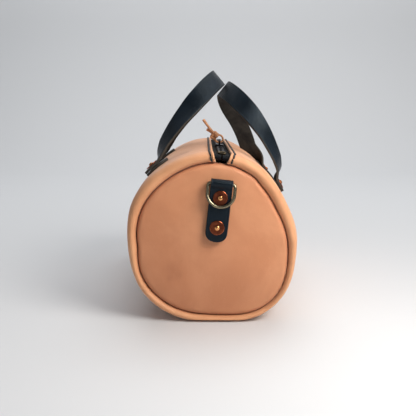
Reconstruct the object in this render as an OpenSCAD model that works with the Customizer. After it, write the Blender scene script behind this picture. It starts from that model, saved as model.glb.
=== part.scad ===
// Small barrel-shaped leather bag with a zip along the top and two strap handles.
// X runs along the barrel, -Y is the front, +Z is up, and z = 0 is the surface the bag lies on.
// Angles round the barrel are degrees from straight up, positive toward the back (+Y).

/* [Bag] */
// Radius of the barrel's wall
bag_r = 75; // [64:0.5:92]
// Length of the barrel over its rolled ends
bag_l = 236; // [190:2:290]
// How far the weight presses the underside flat
press = 1.6; // [0.6:0.2:3]
// How far the wall slumps out, low on the back
slump = 8; // [0:0.5:9]
// How far the wall slumps out, low on the front
front_slump = 4.8; // [0:0.2:6]
// How far the wall stands out, high on the front
swell = 2.2; // [0:0.2:4]
// How far the wall is drawn in, high on the back
draw_in = 3.6; // [0:0.2:4]
// Lean of the zip toward the back, in degrees
lean = 6.2; // [0:0.2:10]
// Thickness of the bag leather
leather_t = 2.2; // [1.6:0.1:2.6]

/* [Ends] */
// Length of the rolled lip along the barrel
roll = 9; // [7:0.5:12]
// Mean width of the rolled lip, from the wall down to the seam
lip_w = 8.4; // [8:0.2:11]
// How much wider the lip is at the top than half way down
lip_top = 2.2; // [1:0.2:3.4]
// Depth of the seam allowance turned into the bag
seam_in = 5; // [3:0.5:7]
// Rise of the end panel close to its seam
edge_rise = 4; // [2:0.2:5]
// Crown of the end panel from its edge to its middle
crown = 1.4; // [0.5:0.1:2.5]

/* [Zip] */
// Width of the opening between the leather edges, along the top
mouth_w = 16.4; // [14:0.2:22]
// Width of the opening where it meets the end seams
mouth_end = 9.4; // [8.5:0.1:12]
// Half width of the zip's tapes, measured from its middle
tape_w = 14.6; // [13:0.2:18]
// Thickness of the tape
tape_t = 0.8; // [0.5:0.1:1]
// Spacing of the teeth along one row
tooth_pitch = 3; // [2.5:0.1:4]
// Width of one row of teeth
tooth_w = 2.7; // [2:0.1:3]
// Height of a tooth above the tape
tooth_h = 1.3; // [1:0.1:1.6]
// Length of each stop beyond the teeth
stop_l = 4.5; // [3:0.5:5]
// Place of the slider along the barrel
slider_x = 15; // [-60:5:60]
// Length of the slider
slider_l = 11; // [9:0.5:14]
// Diameter of the thong that pulls the slider
thong_d = 2; // [1.6:0.1:2.2]
// Length of the thong's free tail, beyond its knot
tail_l = 16; // [10:1:28]

/* [Handles] */
// Width of each handle strap
strap_w = 19; // [15:0.5:24]
// Thickness of each handle strap
strap_t = 2.6; // [2:0.1:3.2]
// Distance along the bag from its middle to each handle rivet
handle_x = 58; // [45:1:68]
// Angle round the barrel between the zip and the handle rivets
handle_a = 51.5; // [44:0.5:60]
// Distance up the front handle from its root to its crown
strap_rise = 100; // [90:1:125]
// Slope of the front handle at its root, in degrees
front_slope = 69; // [64:0.5:74]
// Slope of the back handle at its root, in degrees
back_slope = 83.5; // [76:0.5:86]
// How much the front handle's slope falls off toward its crown
front_bow = 29; // [20:1:34]
// How much the back handle's slope falls off toward its crown
back_bow = 45; // [36:1:50]
// How far the back handle's left leg leans in toward the front handle
far_pull = 12; // [0:1:14]
// Length of each leg over which the strap makes its quarter twist
twist_l = 42; // [30:1:60]
// Thickness of the patches under the strap ends
patch_t = 2.4; // [1.6:0.1:3]
// Length of a strap patch above the rivet
patch_up = 15; // [12:0.5:20]
// Length of strap and patch below the rivet
patch_down = 9.5; // [8:0.5:12]

/* [Rivets] */
// Diameter of a rivet's burr
burr_d = 12.7; // [9:0.1:14]
// Thickness of a burr
burr_t = 1; // [0.8:0.1:1.4]
// Diameter of a rivet's post
post_d = 3.8; // [3:0.1:4.4]
// Diameter of the flat head inside the bag
head_d = 11; // [8:0.5:12]

/* [Tabs and D-rings] */
// Width of the tab that holds each D-ring
tab_w = 18.9; // [15:0.1:24]
// Thickness of one layer of the tab
tab_t = 2.4; // [2:0.1:3]
// Height of the tab's lower rivet above the panel's middle
low_rivet = 10.9; // [6:0.1:14]
// Distance of the tab's line from the bag's middle, toward the back
tab_y = 2.3; // [-4:0.1:4]
// Spacing of the tab's two rivets
rivet_gap = 25.9; // [21:0.1:28]
// Diameter of the D-ring's wire
wire_d = 2.9; // [2.4:0.1:3.2]
// Height of the D-ring from outside to outside
ring_h = 22.8; // [20:0.2:26]

/* [Stitches] */
// Thickness of the thread
thread_d = 1; // [0.6:0.1:1.2]
// Spacing of the stitches beside the zip
zip_pitch = 5; // [4:0.5:7]
// Distance of those stitches from the leather's edge
stitch_in = 4.6; // [3:0.2:6]
// Number of stitches in each end seam
seam_count = 72; // [40:1:90]

/* [Hidden] */

front = -1;
back = 1;
right = 1;
left = -1;

// Clearances
seam_gap = 0.3;    // between the two turned edges of an end seam
layer_gap = 0.15;   // between leather layers that lie on each other
fit = 0.05;         // round a rivet's post in its burr, and round the D-ring's bar
hole_fit = 0.2;     // round a rivet's post in the leather
run = 0.3;          // between parts that slide or turn past each other
slot = 0.5;         // half of the free slot between the two rows of teeth
crown_gap = 0.9;    // between the front handle's lower edge and the back handle's crown

// How the skins are divided
wall_cols = 64;
lip_steps = 5;
lip_turn = 155;     // degrees that the lip turns, from the wall to its seam
mid = lip_steps + 2;
line_n = 2 * mid + 1;
panel_cols = 60;
panel_steps = [0.3, 0.6, 0.8, 0.92, 0.96, 0.985, 1];
edge_soft = 3.5;    // how quickly the panel rises from its seam
strap_steps = 60;
patch_steps = 12;

natural = [0.84, 0.60, 0.43];
black_hide = [0.10, 0.12, 0.15];
copper = [0.60, 0.31, 0.21];
old_brass = [0.45, 0.40, 0.30];
black_cloth = [0.07, 0.07, 0.09];
dark_metal = [0.16, 0.16, 0.17];

flat_soft = press / 2;  // height over which the flat underside curves up into the wall
end_x = bag_l / 2;
flat_x = end_x - roll;

// ---------- the barrel's shape ----------

function turned(a) = a - 360 * floor((a + 180) / 360);
function hump(a, at, wide) = exp(-pow(turned(a - at) / wide, 2));
slump_at = 145;
slump_wide = 28;
front_slump_at = -150;
swell_at = -60;
draw_at = 64;
bump_wide = 26;
function wall_r(a) =
    bag_r + slump * hump(a, slump_at, slump_wide) + front_slump * hump(a, front_slump_at, bump_wide)
    + swell * hump(a, swell_at, bump_wide) - draw_in * hump(a, draw_at, bump_wide);

// Height of the barrel's middle, with its lowest line pressed into the floor
bag_z = max([for (a = [130:1:230]) -wall_r(a) * cos(a)]) - press;

// The wall's outward direction at angle a, itself an angle from straight up
function wall_n(a) = a - atan((wall_r(a + 1) - wall_r(a - 1)) / (2 * PI / 180) / wall_r(a));

// Height z kept above floor_z, flat on the floor and curving away from it softly
function pressed(z, floor_z) =
    let (d = z - floor_z)
    floor_z + (d < -flat_soft ? 0 : d > flat_soft ? d : pow(d + flat_soft, 2) / (4 * flat_soft));

// A point at angle a, deep below the wall's outer face, flattened where the bag rests
function at_wall(x, a, deep) = [
    x,
    (wall_r(a) - deep) * sin(a),
    pressed(bag_z + (wall_r(a) - deep) * cos(a), deep)
];

// The same without the flat, for pieces that stand proud of the wall
function off_wall(x, a, proud) = [x, (wall_r(a) + proud) * sin(a), bag_z + (wall_r(a) + proud) * cos(a)];

function arc_deg(length, r) = length / r * 180 / PI;

function lip_drop(a) = lip_w + lip_top * cos(a);
function lip_r(a) = lip_drop(a) / (1 - cos(lip_turn));

// How far round the lip point i of the wall's line is, in degrees: 0 on the straight wall
function lip_angle(i) = max(0, min(lip_turn, (abs(i - mid) - 1) * lip_turn / lip_steps));

// Point i of the line from seam to seam along the barrel, off below the outer face, as [x, depth]
function wall_line(i, a, off) =
    let (t = lip_angle(i), tuck = abs(i - mid) == mid ? seam_in : 0)
    i == mid ? [0, off] : [
        sign(i - mid) * (flat_x + (roll - off) * sin(t) - tuck),
        lip_r(a) - (lip_r(a) - off) * cos(t)
    ];

function line_point(i, a, off) = let (p = wall_line(i, a, off)) at_wall(p[0], a, p[1]);

// Half width of the mouth t degrees round the lip
function mouth_half(t) = (mouth_w - (mouth_w - mouth_end) * t / lip_turn) / 2;
function mouth_deg(i) = arc_deg(mouth_half(lip_angle(i)), bag_r - wall_line(i, lean, 0)[1]);

seam_x = flat_x + roll * sin(lip_turn);

// ---------- skins ----------

// A closed skin over rings that run from one end to the other. The first half of each ring
// is one face and the second half, in reverse, is the face behind it.
module skin(rings) {
    n = len(rings[0]);
    m = len(rings);
    half = n / 2;
    points = [for (ring = rings) for (p = ring) p];
    sides = [
        for (k = [0:m - 2]) for (i = [0:n - 1])
            let (j = (i + 1) % n, a = k * n + i, b = k * n + j, c = b + n, d = a + n)
            each [[a, b, c], [a, c, d]]
    ];
    first = [
        for (i = [0:half - 2])
            let (a = i, b = i + 1, c = n - 2 - i, d = n - 1 - i)
            each [[a, c, b], [a, d, c]]
    ];
    e = (m - 1) * n;
    last = [
        for (i = [0:half - 2])
            let (a = e + i, b = e + i + 1, c = e + n - 2 - i, d = e + n - 1 - i)
            each [[a, b, c], [a, c, d]]
    ];
    polyhedron(points, concat(sides, first, last));
}

// A strip that lies on the wall round a handle rivet, from s0 to s1 along the wall, with rounded ends
module wall_strip(side, s0, s1, low, high, w, round_up) {
    at = lean + side * handle_a;
    corner = w * 0.38;
    function half_w(s) =
        let (e = min(s - s0, round_up ? s1 - s : corner))
        w / 2 - (e < corner ? corner - sqrt(max(0, corner * corner - pow(corner - e, 2))) : 0);
    for (x = [-handle_x, handle_x]) {
        difference() {
            skin([
                for (j = [0:patch_steps])
                    let (
                        s = (s0 + s1) / 2 - (s1 - s0) / 2 * cos(180 * j / patch_steps),
                        a = at - side * arc_deg(s, bag_r),
                        h = side * half_w(s)
                    )
                    [
                        off_wall(x + h, a, high), off_wall(x - h, a, high),
                        off_wall(x - h, a, low), off_wall(x + h, a, low)
                    ]
            ]);
            at_rivet(side, x) cylinder(h = 40, d = post_d + 2 * hole_fit, center = true, $fn = 32);
        }
    }
}

// ---------- places ----------

// Z points straight out through the middle of the zip
module at_zip() {
    translate([0, 0, bag_z]) rotate([-lean, 0, 0]) children();
}

// Z points straight out of the wall at a handle rivet
module at_rivet(side, x) {
    a = lean + side * handle_a;
    translate(off_wall(x, a, 0)) rotate([-wall_n(a), 0, 0]) children();
}

// X points out of one end of the bag
module at_end(side) {
    mirror([side == left ? 1 : 0, 0, 0]) children();
}

module rod(p, q, d) {
    v = q - p;
    translate(p) rotate([0, acos(v[2] / norm(v)), atan2(v[1], v[0])]) cylinder(h = norm(v), d = d, $fn = 16);
}

// ---------- bag ----------

module barrel_shell() {
    color(natural) difference() {
        skin([
            for (k = [0:wall_cols]) [
                for (i = [0:line_n - 1]) line_point(i, wall_angle(i, k), 0),
                for (i = [line_n - 1:-1:0]) line_point(i, wall_angle(i, k), leather_t)
            ]
        ]);
        for (side = [front, back]) for (x = [-handle_x, handle_x])
            at_rivet(side, x) cylinder(h = 20, d = post_d + 2 * hole_fit, center = true, $fn = 32);
    }
}
function wall_angle(i, k) = lean + mouth_deg(i) + (360 - 2 * mouth_deg(i)) * k / wall_cols;

function panel_x(f) = seam_x + edge_rise * (1 - exp(-(1 - f) * bag_r / edge_soft)) + crown * (1 - f * f);

// A point of the end panel, a share f of the way from its middle to its edge
function panel_point(f, a, x) =
    let (rim = at_wall(x, a, lip_drop(a) + seam_gap))
    [x, f * rim[1], bag_z + f * (rim[2] - bag_z)];

module end_panel(side) {
    inner = 1 - leather_t / (bag_r - lip_w);
    n = len(panel_steps);
    foot = seam_x - seam_in;
    line = concat(
        [for (f = panel_steps) [f, panel_x(f)]],
        [[1, foot], [inner, foot]],
        [for (i = [n - 1:-1:0]) [panel_steps[i] * inner, panel_x(panel_steps[i]) - leather_t]]
    );
    m = len(line);
    points = concat(
        [for (k = [0:panel_cols - 1]) for (p = line) panel_point(p[0], 360 * k / panel_cols, p[1])],
        [[panel_x(0), 0, bag_z], [panel_x(0) - leather_t, 0, bag_z]]
    );
    top = panel_cols * m;
    faces = [
        for (k = [0:panel_cols - 1])
            let (a = k * m, b = ((k + 1) % panel_cols) * m)
            each concat(
                [[top, a, b], [top + 1, b + m - 1, a + m - 1]],
                [for (i = [0:m - 2]) each [[a + i, a + i + 1, b + i + 1], [a + i, b + i + 1, b + i]]]
            )
    ];
    color(natural) at_end(side) difference() {
        polyhedron(points, faces);
        tab_posts_at() cylinder(h = 40, d = post_d + 2 * hole_fit, center = true, $fn = 32);
    }
}

// ---------- zip ----------

tape_top = leather_t + layer_gap;
tape_steps = 4;

function tape_deg(side, i, k) =
    lean + side * arc_deg(slot + (tape_w - slot) * k / tape_steps, bag_r - wall_line(i, lean, 0)[1]);

module zip_tape(side) {
    cols = side == back ? [0:1:tape_steps] : [tape_steps:-1:0];
    color(black_cloth) skin([
        for (k = cols) [
            for (i = [0:line_n - 1]) line_point(i, tape_deg(side, i, k), tape_top),
            for (i = [line_n - 1:-1:0]) line_point(i, tape_deg(side, i, k), tape_top + tape_t)
        ]
    ]);
}

zip_r = wall_r(lean);
tooth_foot = zip_r - tape_top + 0.02;
teeth_x = flat_x - 1 - stop_l;
tooth_count = floor(2 * teeth_x / tooth_pitch);

module zip_teeth(side) {
    shift = side == front ? 0 : tooth_pitch / 2;
    first = -tooth_pitch * tooth_count / 2 + tooth_pitch / 4;
    color(dark_metal) at_zip() for (i = [0:tooth_count - 1])
        translate([
            first + i * tooth_pitch + shift - tooth_pitch / 4,
            side == back ? slot : -slot - tooth_w,
            tooth_foot
        ]) cube([tooth_pitch / 2, tooth_w, tooth_h]);
}

// One plate across both tapes, where the zip starts
module zip_end_stop() {
    color(old_brass) at_zip() translate([teeth_x + 0.8, -slot - tooth_w - 0.6, tooth_foot]) difference() {
        cube([stop_l, 2 * (slot + tooth_w + 0.6), tooth_h + 0.8]);
        translate([stop_l / 3, 1.2, tooth_h + 0.4]) cube([stop_l / 3, 2 * (slot + tooth_w + 0.6) - 2.4, 1]);
    }
}

// A small crimp on each tape, where the closed zip ends
module zip_top_stops() {
    color(old_brass) at_zip() for (side = [front, back])
        translate([-teeth_x - 0.8 - stop_l, side == back ? slot : -slot - tooth_w, tooth_foot])
            cube([stop_l, tooth_w, tooth_h + 0.4]);
}

plate_t = 1.3;
flange_t = 0.9;
plate_half = slot + tooth_w + run + flange_t;
plate_foot = tooth_foot + tooth_h + run;
plate_top = plate_foot + plate_t;
under_top = tooth_foot - 0.02 - tape_t - run;
bridge_t = 1.1;
bridge_w = 1.3;
bridge_in = 3.9;
bridge_z = plate_top + 4.8;

module zip_slider() {
    color(dark_metal) at_zip() translate([slider_x, 0, 0]) {
        translate([-slider_l / 2, -plate_half, plate_foot]) cube([slider_l, 2 * plate_half, plate_t]);
        for (side = [front, back])
            translate([-slider_l / 2, side == back ? plate_half - flange_t : -plate_half, tooth_foot + run])
                cube([slider_l, flange_t, tooth_h + plate_t]);
        translate([-slider_l / 2, -plate_half, under_top - plate_t]) cube([slider_l, 2 * plate_half, plate_t]);
        translate([slider_l / 2 - 3.5, -slot + run / 2, under_top - plate_t / 2])
            cube([2.5, 2 * slot - run, plate_foot - under_top + plate_t]);
        for (end = [-1, 1])
            translate([end > 0 ? bridge_in : -bridge_in - bridge_t, -bridge_w / 2, plate_top - 0.1])
                cube([bridge_t, bridge_w, bridge_z - plate_top + 0.1 + bridge_t / 2]);
        translate([-bridge_in, -bridge_w / 2, bridge_z - bridge_t / 2])
            cube([2 * bridge_in, bridge_w, bridge_t]);
    }
}

// The thong loops through the slider's bridge, is knotted, and its tail stands up toward the front
thong_tilt = 55;
loop_r = 2.9 + thong_d / 2;
loop_off = loop_r - 2.6;
knot_r = 4.2;
knot_off = loop_off + loop_r + 1.8;
tail_tilt = 46;

module pull_thong() {
    color(natural) at_zip() translate([slider_x, 0, bridge_z]) {
        rotate([thong_tilt, 0, 0]) translate([0, 0, loop_off]) rotate([0, 90, 0])
            rotate_extrude($fn = 48) translate([loop_r, 0]) circle(d = thong_d, $fn = 24);
        rotate([thong_tilt, 0, 0]) translate([0, 0, knot_off]) {
            sphere(r = knot_r, $fn = 32);
            rotate([tail_tilt - thong_tilt, 0, 0]) translate([-1.9, -thong_d / 2, 0])
                cube([3.8, thong_d, knot_r + tail_l]);
        }
    }
}

// ---------- stitches ----------

roll_l = 1.3 * roll;    // length of the stitched line round a lip
thread_rise = 0.5;      // clear of the leather, which curves up between a stitch's ends

// A point of the stitch line beside the zip, u along it from the barrel's middle
function stitch_point(side, u) =
    let (
        t = max(0, abs(u) - flat_x) / roll_l * lip_turn * 0.8,
        off = -thread_d / 2 - thread_rise,
        x = sign(u) * (min(abs(u), flat_x) + (roll - off) * sin(t)),
        deep = lip_r(lean) - (lip_r(lean) - off) * cos(t),
        a = lean + side * arc_deg(mouth_half(t) + stitch_in, bag_r - deep)
    )
    [x, (wall_r(a) - deep) * sin(a), bag_z + (wall_r(a) - deep) * cos(a)];

module zip_stitches(side) {
    run_l = flat_x + roll_l;
    n = floor(run_l / zip_pitch);
    color(black_cloth) for (i = [-n:n - 1])
        rod(stitch_point(side, (i + 0.15) * zip_pitch), stitch_point(side, (i + 0.85) * zip_pitch), thread_d);
}

module end_stitches(side) {
    d = thread_d * 0.9;
    e = d / 2 + 0.3;
    x = panel_x(1 - e / bag_r) + d;
    function groove(a) = at_wall(x, a, lip_drop(a) + seam_gap + e);
    color(natural) at_end(side) for (i = [0:seam_count - 1])
        rod(groove(360 * i / seam_count), groove(360 * (i + 0.65) / seam_count), d);
}

// ---------- handles ----------

hinge_up = burr_d / 2 + 1.6;    // distance from a rivet up to the line its strap bends on
strap_low = 2 * layer_gap + patch_t;
hinge_arc = arc_deg(hinge_up, bag_r);

function root_slope(side) = side == front ? front_slope : back_slope;
function bow(side) = side == front ? front_bow : back_bow;
function hinge_at(side) = off_wall(0, lean + side * (handle_a - hinge_arc), strap_low + strap_t);

// Rise and outward directions of a handle whose slope is b
function rise_dir(side, b) = [0, -side * cos(b), sin(b)];
function out_dir(side, b) = [0, side * sin(b), cos(b)];

// Middle of the strap's thickness, v up the handle from its root
function handle_mid(side, v, rise) =
    let (b0 = root_slope(side), b = b0 - bow(side) * v / rise, k = bow(side) / rise * PI / 180)
    hinge_at(side) - strap_t / 2 * out_dir(side, b0)
        + [0, -side * (sin(b0) - sin(b)) / k, (cos(b) - cos(b0)) / k];

// The front handle's lower edge rests on the back handle's crown, which sets the back one's rise
front_edge = handle_mid(front, strap_rise, strap_rise)
    - strap_w / 2 * out_dir(front, front_slope - front_bow)
    - strap_t / 2 * rise_dir(front, front_slope - front_bow);
back_start = hinge_at(back) - strap_t / 2 * out_dir(back, back_slope);
back_crown = rise_dir(back, back_slope - back_bow);
bow_chord = sin(back_bow / 2) / (back_bow / 2 * PI / 180);
back_rise = ((front_edge - back_start) * back_crown - strap_t / 2 - crown_gap) / (bow_chord * cos(back_bow / 2));

function handle_rise(side) = side == front ? strap_rise : back_rise;

// The arch is a squarish half ellipse: w runs 0 to 180 from one root to the other
arch_n = 2.4;
function arch_x(w) = handle_x * sign(cos(w)) * pow(abs(cos(w)), 2 / arch_n);
function ease(t) = let (u = max(0, min(1, t))) u * u * (3 - 2 * u);

// The back handle's left leg leans in: its share of the lean grows past the crown
lean_from = 90;         // where along the arch the lean starts
lean_over = 50;         // how much of the arch it takes to grow
lean_drop = 0.07;       // share of its height that the leaning leg loses
lean_rise = 30;         // height over which the lean grows from the root
function far_share(side, w) = side == back ? ease((w - lean_from) / lean_over) : 0;
function arch_v(side, w) =
    (run + (handle_rise(side) - run) * pow(max(0, sin(w)), 2 / arch_n)) * (1 - lean_drop * far_share(side, w));
function far_lean(side, w) = far_pull * far_share(side, w) * ease(arch_v(side, w) / lean_rise);
function arch_point(side, w) =
    handle_mid(side, arch_v(side, w), handle_rise(side)) + [arch_x(w), -far_lean(side, w), 0];

function unit(v) = v / norm(v);

function arch_ring(side, w) =
    let (
        v = arch_v(side, w),
        b = root_slope(side) - bow(side) * v / handle_rise(side),
        lo = max(0, w - 0.2),
        hi = min(180, w + 0.2),
        along = unit(arch_point(side, hi) - arch_point(side, lo)),
        flat_n = out_dir(side, b),
        arch_dir = side * unit(cross(flat_n, along)),
        twist = 90 * ease((v - run) / twist_l),
        n = unit(cos(twist) * flat_n + sin(twist) * arch_dir),
        across = cross(along, n),
        p = arch_point(side, w)
    )
    [
        p + strap_w / 2 * across + strap_t / 2 * n,
        p - strap_w / 2 * across + strap_t / 2 * n,
        p - strap_w / 2 * across - strap_t / 2 * n,
        p + strap_w / 2 * across - strap_t / 2 * n
    ];

module handle_strap(side) {
    color(black_hide) skin([
        for (k = [0:strap_steps])
            arch_ring(side, 90 - 90 * cos(180 * k / strap_steps))
    ]);
}

module handle_ends(side) {
    color(black_hide) wall_strip(side, -patch_down + 0.8, hinge_up - run, strap_low, strap_low + strap_t, strap_w, false);
}

module handle_patches(side) {
    color(black_hide) wall_strip(side, -patch_down, patch_up, layer_gap, layer_gap + patch_t, strap_w + 1, true);
}

// A copper rivet: flat head behind, post through the layers, and a peened dome in front
module rivet_post(head_z, burr_top) {
    dome_r = post_d * 0.68;
    translate([0, 0, head_z - 1]) cylinder(h = 1, d = head_d, $fn = 48);
    translate([0, 0, head_z - 0.5]) cylinder(h = burr_top - head_z + 1, d = post_d, $fn = 32);
    translate([0, 0, burr_top + 0.02]) intersection() {
        translate([0, 0, -dome_r * 0.25]) sphere(r = dome_r, $fn = 32);
        cylinder(h = dome_r, r = dome_r, $fn = 32);
    }
}

module burr(z) {
    translate([0, 0, z]) difference() {
        cylinder(h = burr_t, d = burr_d, $fn = 64);
        translate([0, 0, -1]) cylinder(h = burr_t + 2, d = post_d + 2 * fit, $fn = 32);
    }
}

burr_foot = strap_low + strap_t + 0.02;
head_sink = leather_t + 0.1 + head_d * head_d / 8 / (bag_r - leather_t - 3);

module handle_rivets(side) {
    color(copper) for (x = [-handle_x, handle_x])
        at_rivet(side, x) rivet_post(-head_sink, burr_foot + burr_t);
}

module handle_burrs(side) {
    color(copper) for (x = [-handle_x, handle_x]) at_rivet(side, x) burr(burr_foot);
}

// ---------- tabs and D-rings ----------

tab_x = panel_x(0) + 0.1;
bar_hole = wire_d / 2 + fit;
bar_x = tab_x + tab_t + bar_hole;
tab_low = low_rivet - burr_d / 2 - 6.4;
taper_z = low_rivet + rivet_gap + burr_d / 2 + 0.2;
bar_z = taper_z + 5.6;
ring_in = tab_w + 1.4;
ring_r = (ring_in + wire_d) / 2;
side_l = ring_h - wire_d - ring_r;
ring_tilt = asin((tab_t + wire_d / 2 + 0.15 - bar_hole) / (side_l + 0.42 * ring_r));

// Z runs up the tab and X out of the panel
module at_tab(side) {
    at_end(side) translate([0, tab_y, bag_z]) rotate([-lean, 0, 0]) children();
}

module tab_posts_at() {
    translate([0, tab_y, bag_z]) rotate([-lean, 0, 0]) for (z = [low_rivet, low_rivet + rivet_gap])
        translate([0, 0, z]) rotate([0, 90, 0]) translate([0, 0, tab_x]) children();
}

module tab_strap(side) {
    outer = bar_hole + tab_t;
    corner = tab_w * 0.42;
    color(black_hide) at_tab(side) difference() {
        intersection() {
            rotate([90, 0, 0]) linear_extrude(height = tab_w, center = true) difference() {
                union() {
                    translate([tab_x, tab_low]) square([2 * tab_t, taper_z - tab_low]);
                    translate([tab_x, taper_z - 0.1]) square([tab_t, bar_z - taper_z + 0.1]);
                    polygon([
                        [tab_x + tab_t, taper_z], [tab_x + 2 * tab_t, taper_z],
                        [bar_x + outer, bar_z], [bar_x + bar_hole, bar_z]
                    ]);
                    translate([bar_x, bar_z]) intersection() {
                        circle(r = outer, $fn = 48);
                        translate([-outer, 0]) square([2 * outer, outer]);
                    }
                }
                translate([bar_x, bar_z]) circle(r = bar_hole, $fn = 48);
            }
            rotate([90, 0, 90]) linear_extrude(height = tab_x + 40) {
                translate([-tab_w / 2, tab_low + corner]) square([tab_w, bar_z + outer - tab_low]);
                translate([-tab_w / 2 + corner, tab_low]) square([tab_w - 2 * corner, corner + 1]);
                for (y = [-1, 1]) translate([y * (tab_w / 2 - corner), tab_low + corner])
                    circle(r = corner, $fn = 48);
            }
        }
        for (z = [low_rivet, low_rivet + rivet_gap])
            translate([tab_x - 1, 0, z]) rotate([0, 90, 0])
                cylinder(h = 2 * tab_t + 2, d = post_d + 2 * hole_fit, $fn = 32);
    }
}

// Hangs from its straight bar, leaning out just enough to lie on the tab
module d_ring(side) {
    color(old_brass) at_tab(side) translate([bar_x, 0, bar_z]) rotate([0, -ring_tilt, 0]) {
        rod([0, -ring_r, 0], [0, ring_r, 0], wire_d);
        for (y = [-ring_r, ring_r]) {
            translate([0, y, 0]) sphere(d = wire_d, $fn = 24);
            rod([0, y, 0], [0, y, -side_l], wire_d);
        }
        translate([0, 0, -side_l]) rotate([0, 90, 0]) rotate([0, 0, -90])
            rotate_extrude(angle = 180, $fn = 64) translate([ring_r, 0]) circle(d = wire_d, $fn = 24);
    }
}

tab_burr_foot = 2 * tab_t + 0.02;
tab_head = -(leather_t + 0.8);

module tab_rivets(side) {
    color(copper) at_end(side) tab_posts_at() rivet_post(tab_head, tab_burr_foot + burr_t);
}

module tab_burrs(side) {
    color(copper) at_end(side) tab_posts_at() burr(tab_burr_foot);
}

// ---------- nodes ----------

barrel_shell();
end_panel(right);  // end_panel_right
end_panel(left);  // end_panel_left
zip_tape(front);  // zip_tape_front
zip_tape(back);  // zip_tape_back
zip_teeth(front);  // zip_teeth_front
zip_teeth(back);  // zip_teeth_back
zip_end_stop();
zip_top_stops();
zip_slider();
pull_thong();
zip_stitches(front);  // zip_stitches_front
zip_stitches(back);  // zip_stitches_back
end_stitches(right);  // end_stitches_right
end_stitches(left);  // end_stitches_left
handle_strap(front);  // handle_strap_front
handle_strap(back);  // handle_strap_back
handle_ends(front);  // handle_ends_front
handle_ends(back);  // handle_ends_back
handle_patches(front);  // handle_patches_front
handle_patches(back);  // handle_patches_back
handle_rivets(front);  // handle_rivets_front
handle_rivets(back);  // handle_rivets_back
handle_burrs(front);  // handle_burrs_front
handle_burrs(back);  // handle_burrs_back
tab_strap(right);  // tab_strap_right
tab_strap(left);  // tab_strap_left
d_ring(right);  // d_ring_right
d_ring(left);  // d_ring_left
tab_rivets(right);  // tab_rivets_right
tab_rivets(left);  // tab_rivets_left
tab_burrs(right);  // tab_burrs_right
tab_burrs(left);  // tab_burrs_left
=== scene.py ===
# %% [markdown]
# # A small barrel bag in natural leather
#
# The bag is a wrap of thick vegetable-tanned leather, turned over at both ends round a stuffed
# round panel. It has a zip along the top, two black strap handles, and a tab with a D-ring on
# each end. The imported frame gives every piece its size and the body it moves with. This lesson
# builds the looks on top of that frame: soft skins, bevelled straps, metal and thread.

import math

import bmesh
import bpy
import numpy as np
from mathutils import Matrix, Vector


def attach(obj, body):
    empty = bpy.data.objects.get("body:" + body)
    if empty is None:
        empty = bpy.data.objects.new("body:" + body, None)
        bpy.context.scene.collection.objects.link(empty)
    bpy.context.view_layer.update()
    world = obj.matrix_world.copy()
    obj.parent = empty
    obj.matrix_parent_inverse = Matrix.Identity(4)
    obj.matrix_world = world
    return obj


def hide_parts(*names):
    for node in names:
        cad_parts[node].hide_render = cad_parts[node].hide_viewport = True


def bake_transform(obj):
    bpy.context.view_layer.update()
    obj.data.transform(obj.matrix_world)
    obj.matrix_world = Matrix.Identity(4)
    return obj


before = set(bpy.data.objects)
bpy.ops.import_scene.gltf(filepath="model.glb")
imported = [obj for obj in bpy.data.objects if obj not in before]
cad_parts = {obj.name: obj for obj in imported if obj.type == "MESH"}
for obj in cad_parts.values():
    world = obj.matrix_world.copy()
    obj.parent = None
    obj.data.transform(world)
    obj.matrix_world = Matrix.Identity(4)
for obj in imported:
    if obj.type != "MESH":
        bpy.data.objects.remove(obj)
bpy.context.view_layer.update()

# %% [markdown]
# ## The barrel's own numbers
#
# A slack leather barrel isn't a true circle. Its section bulges where the weight pushes out and
# draws in where the handles pull. A radius that changes with the angle says this in one line, so
# every piece that lies on the wall can ask the same function where the wall is. Angles are in
# degrees from straight up, positive toward the back, and lengths here are in millimetres. They
# turn into metres once, when a mesh is made.

# %% Sizes in millimetres
MM = 0.001
FRONT, BACK, RIGHT, LEFT = -1, 1, 1, -1

FACE_WORD = {FRONT: "front", BACK: "back"}
END_WORD = {RIGHT: "right", LEFT: "left"}

BAG_R, BAG_L, PRESS, LEAN, LEATHER = 75.0, 236.0, 1.6, 6.2, 2.2
ROLL, SEAM_IN, LIP_TURN = 9.0, 5.0, 155.0
FLAT_X = BAG_L / 2 - ROLL
SEAM_X = FLAT_X + ROLL * math.sin(math.radians(LIP_TURN))
SEAM_GAP, LAYER_GAP = 0.3, 0.15
MOUTH_W, MOUTH_END = 16.4, 9.4

# Each bulge says how far out it stands, at which angle, and how many degrees wide it is.
BULGES = ((8.0, 145, 28), (4.8, -150, 26), (2.2, -60, 26), (-3.6, 64, 26))
SAGS = ((2.6, -124, 17), (2.0, 122, 17))


# %% The wall's shape
def sin(a):
    return np.sin(np.radians(a))


def cos(a):
    return np.cos(np.radians(a))


def turned(a):
    return a - 360 * np.floor((a + 180) / 360)


def hump(a, at, wide):
    return np.exp(-(turned(a - at) / wide) ** 2)


def humps(a, table):
    return sum(high * hump(a, at, wide) for high, at, wide in table)


def wall_r(a):
    return BAG_R + humps(a, BULGES) + humps(a, SAGS)


around = np.arange(130.0, 231.0)
settled = BAG_R + humps(around, BULGES)
BAG_Z = float(np.max(-settled * cos(around))) - PRESS


def wall_n(a):
    slope = (wall_r(a + 1) - wall_r(a - 1)) / np.radians(2)
    return a - np.degrees(np.arctan(slope / wall_r(a)))


def pressed(z, floor_z):
    soft = PRESS / 2
    d = z - floor_z
    rounded = (d + soft) ** 2 / (4 * soft)
    return floor_z + np.where(d < -soft, 0, np.where(d > soft, d, rounded))


def at_wall(x, a, deep):
    x, a, deep = np.broadcast_arrays(*[np.asarray(v, float) for v in (x, a, deep)])
    r = wall_r(a) - deep
    return np.stack([x, r * sin(a), pressed(BAG_Z + r * cos(a), np.clip(deep, 0, LEATHER))], -1)


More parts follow.
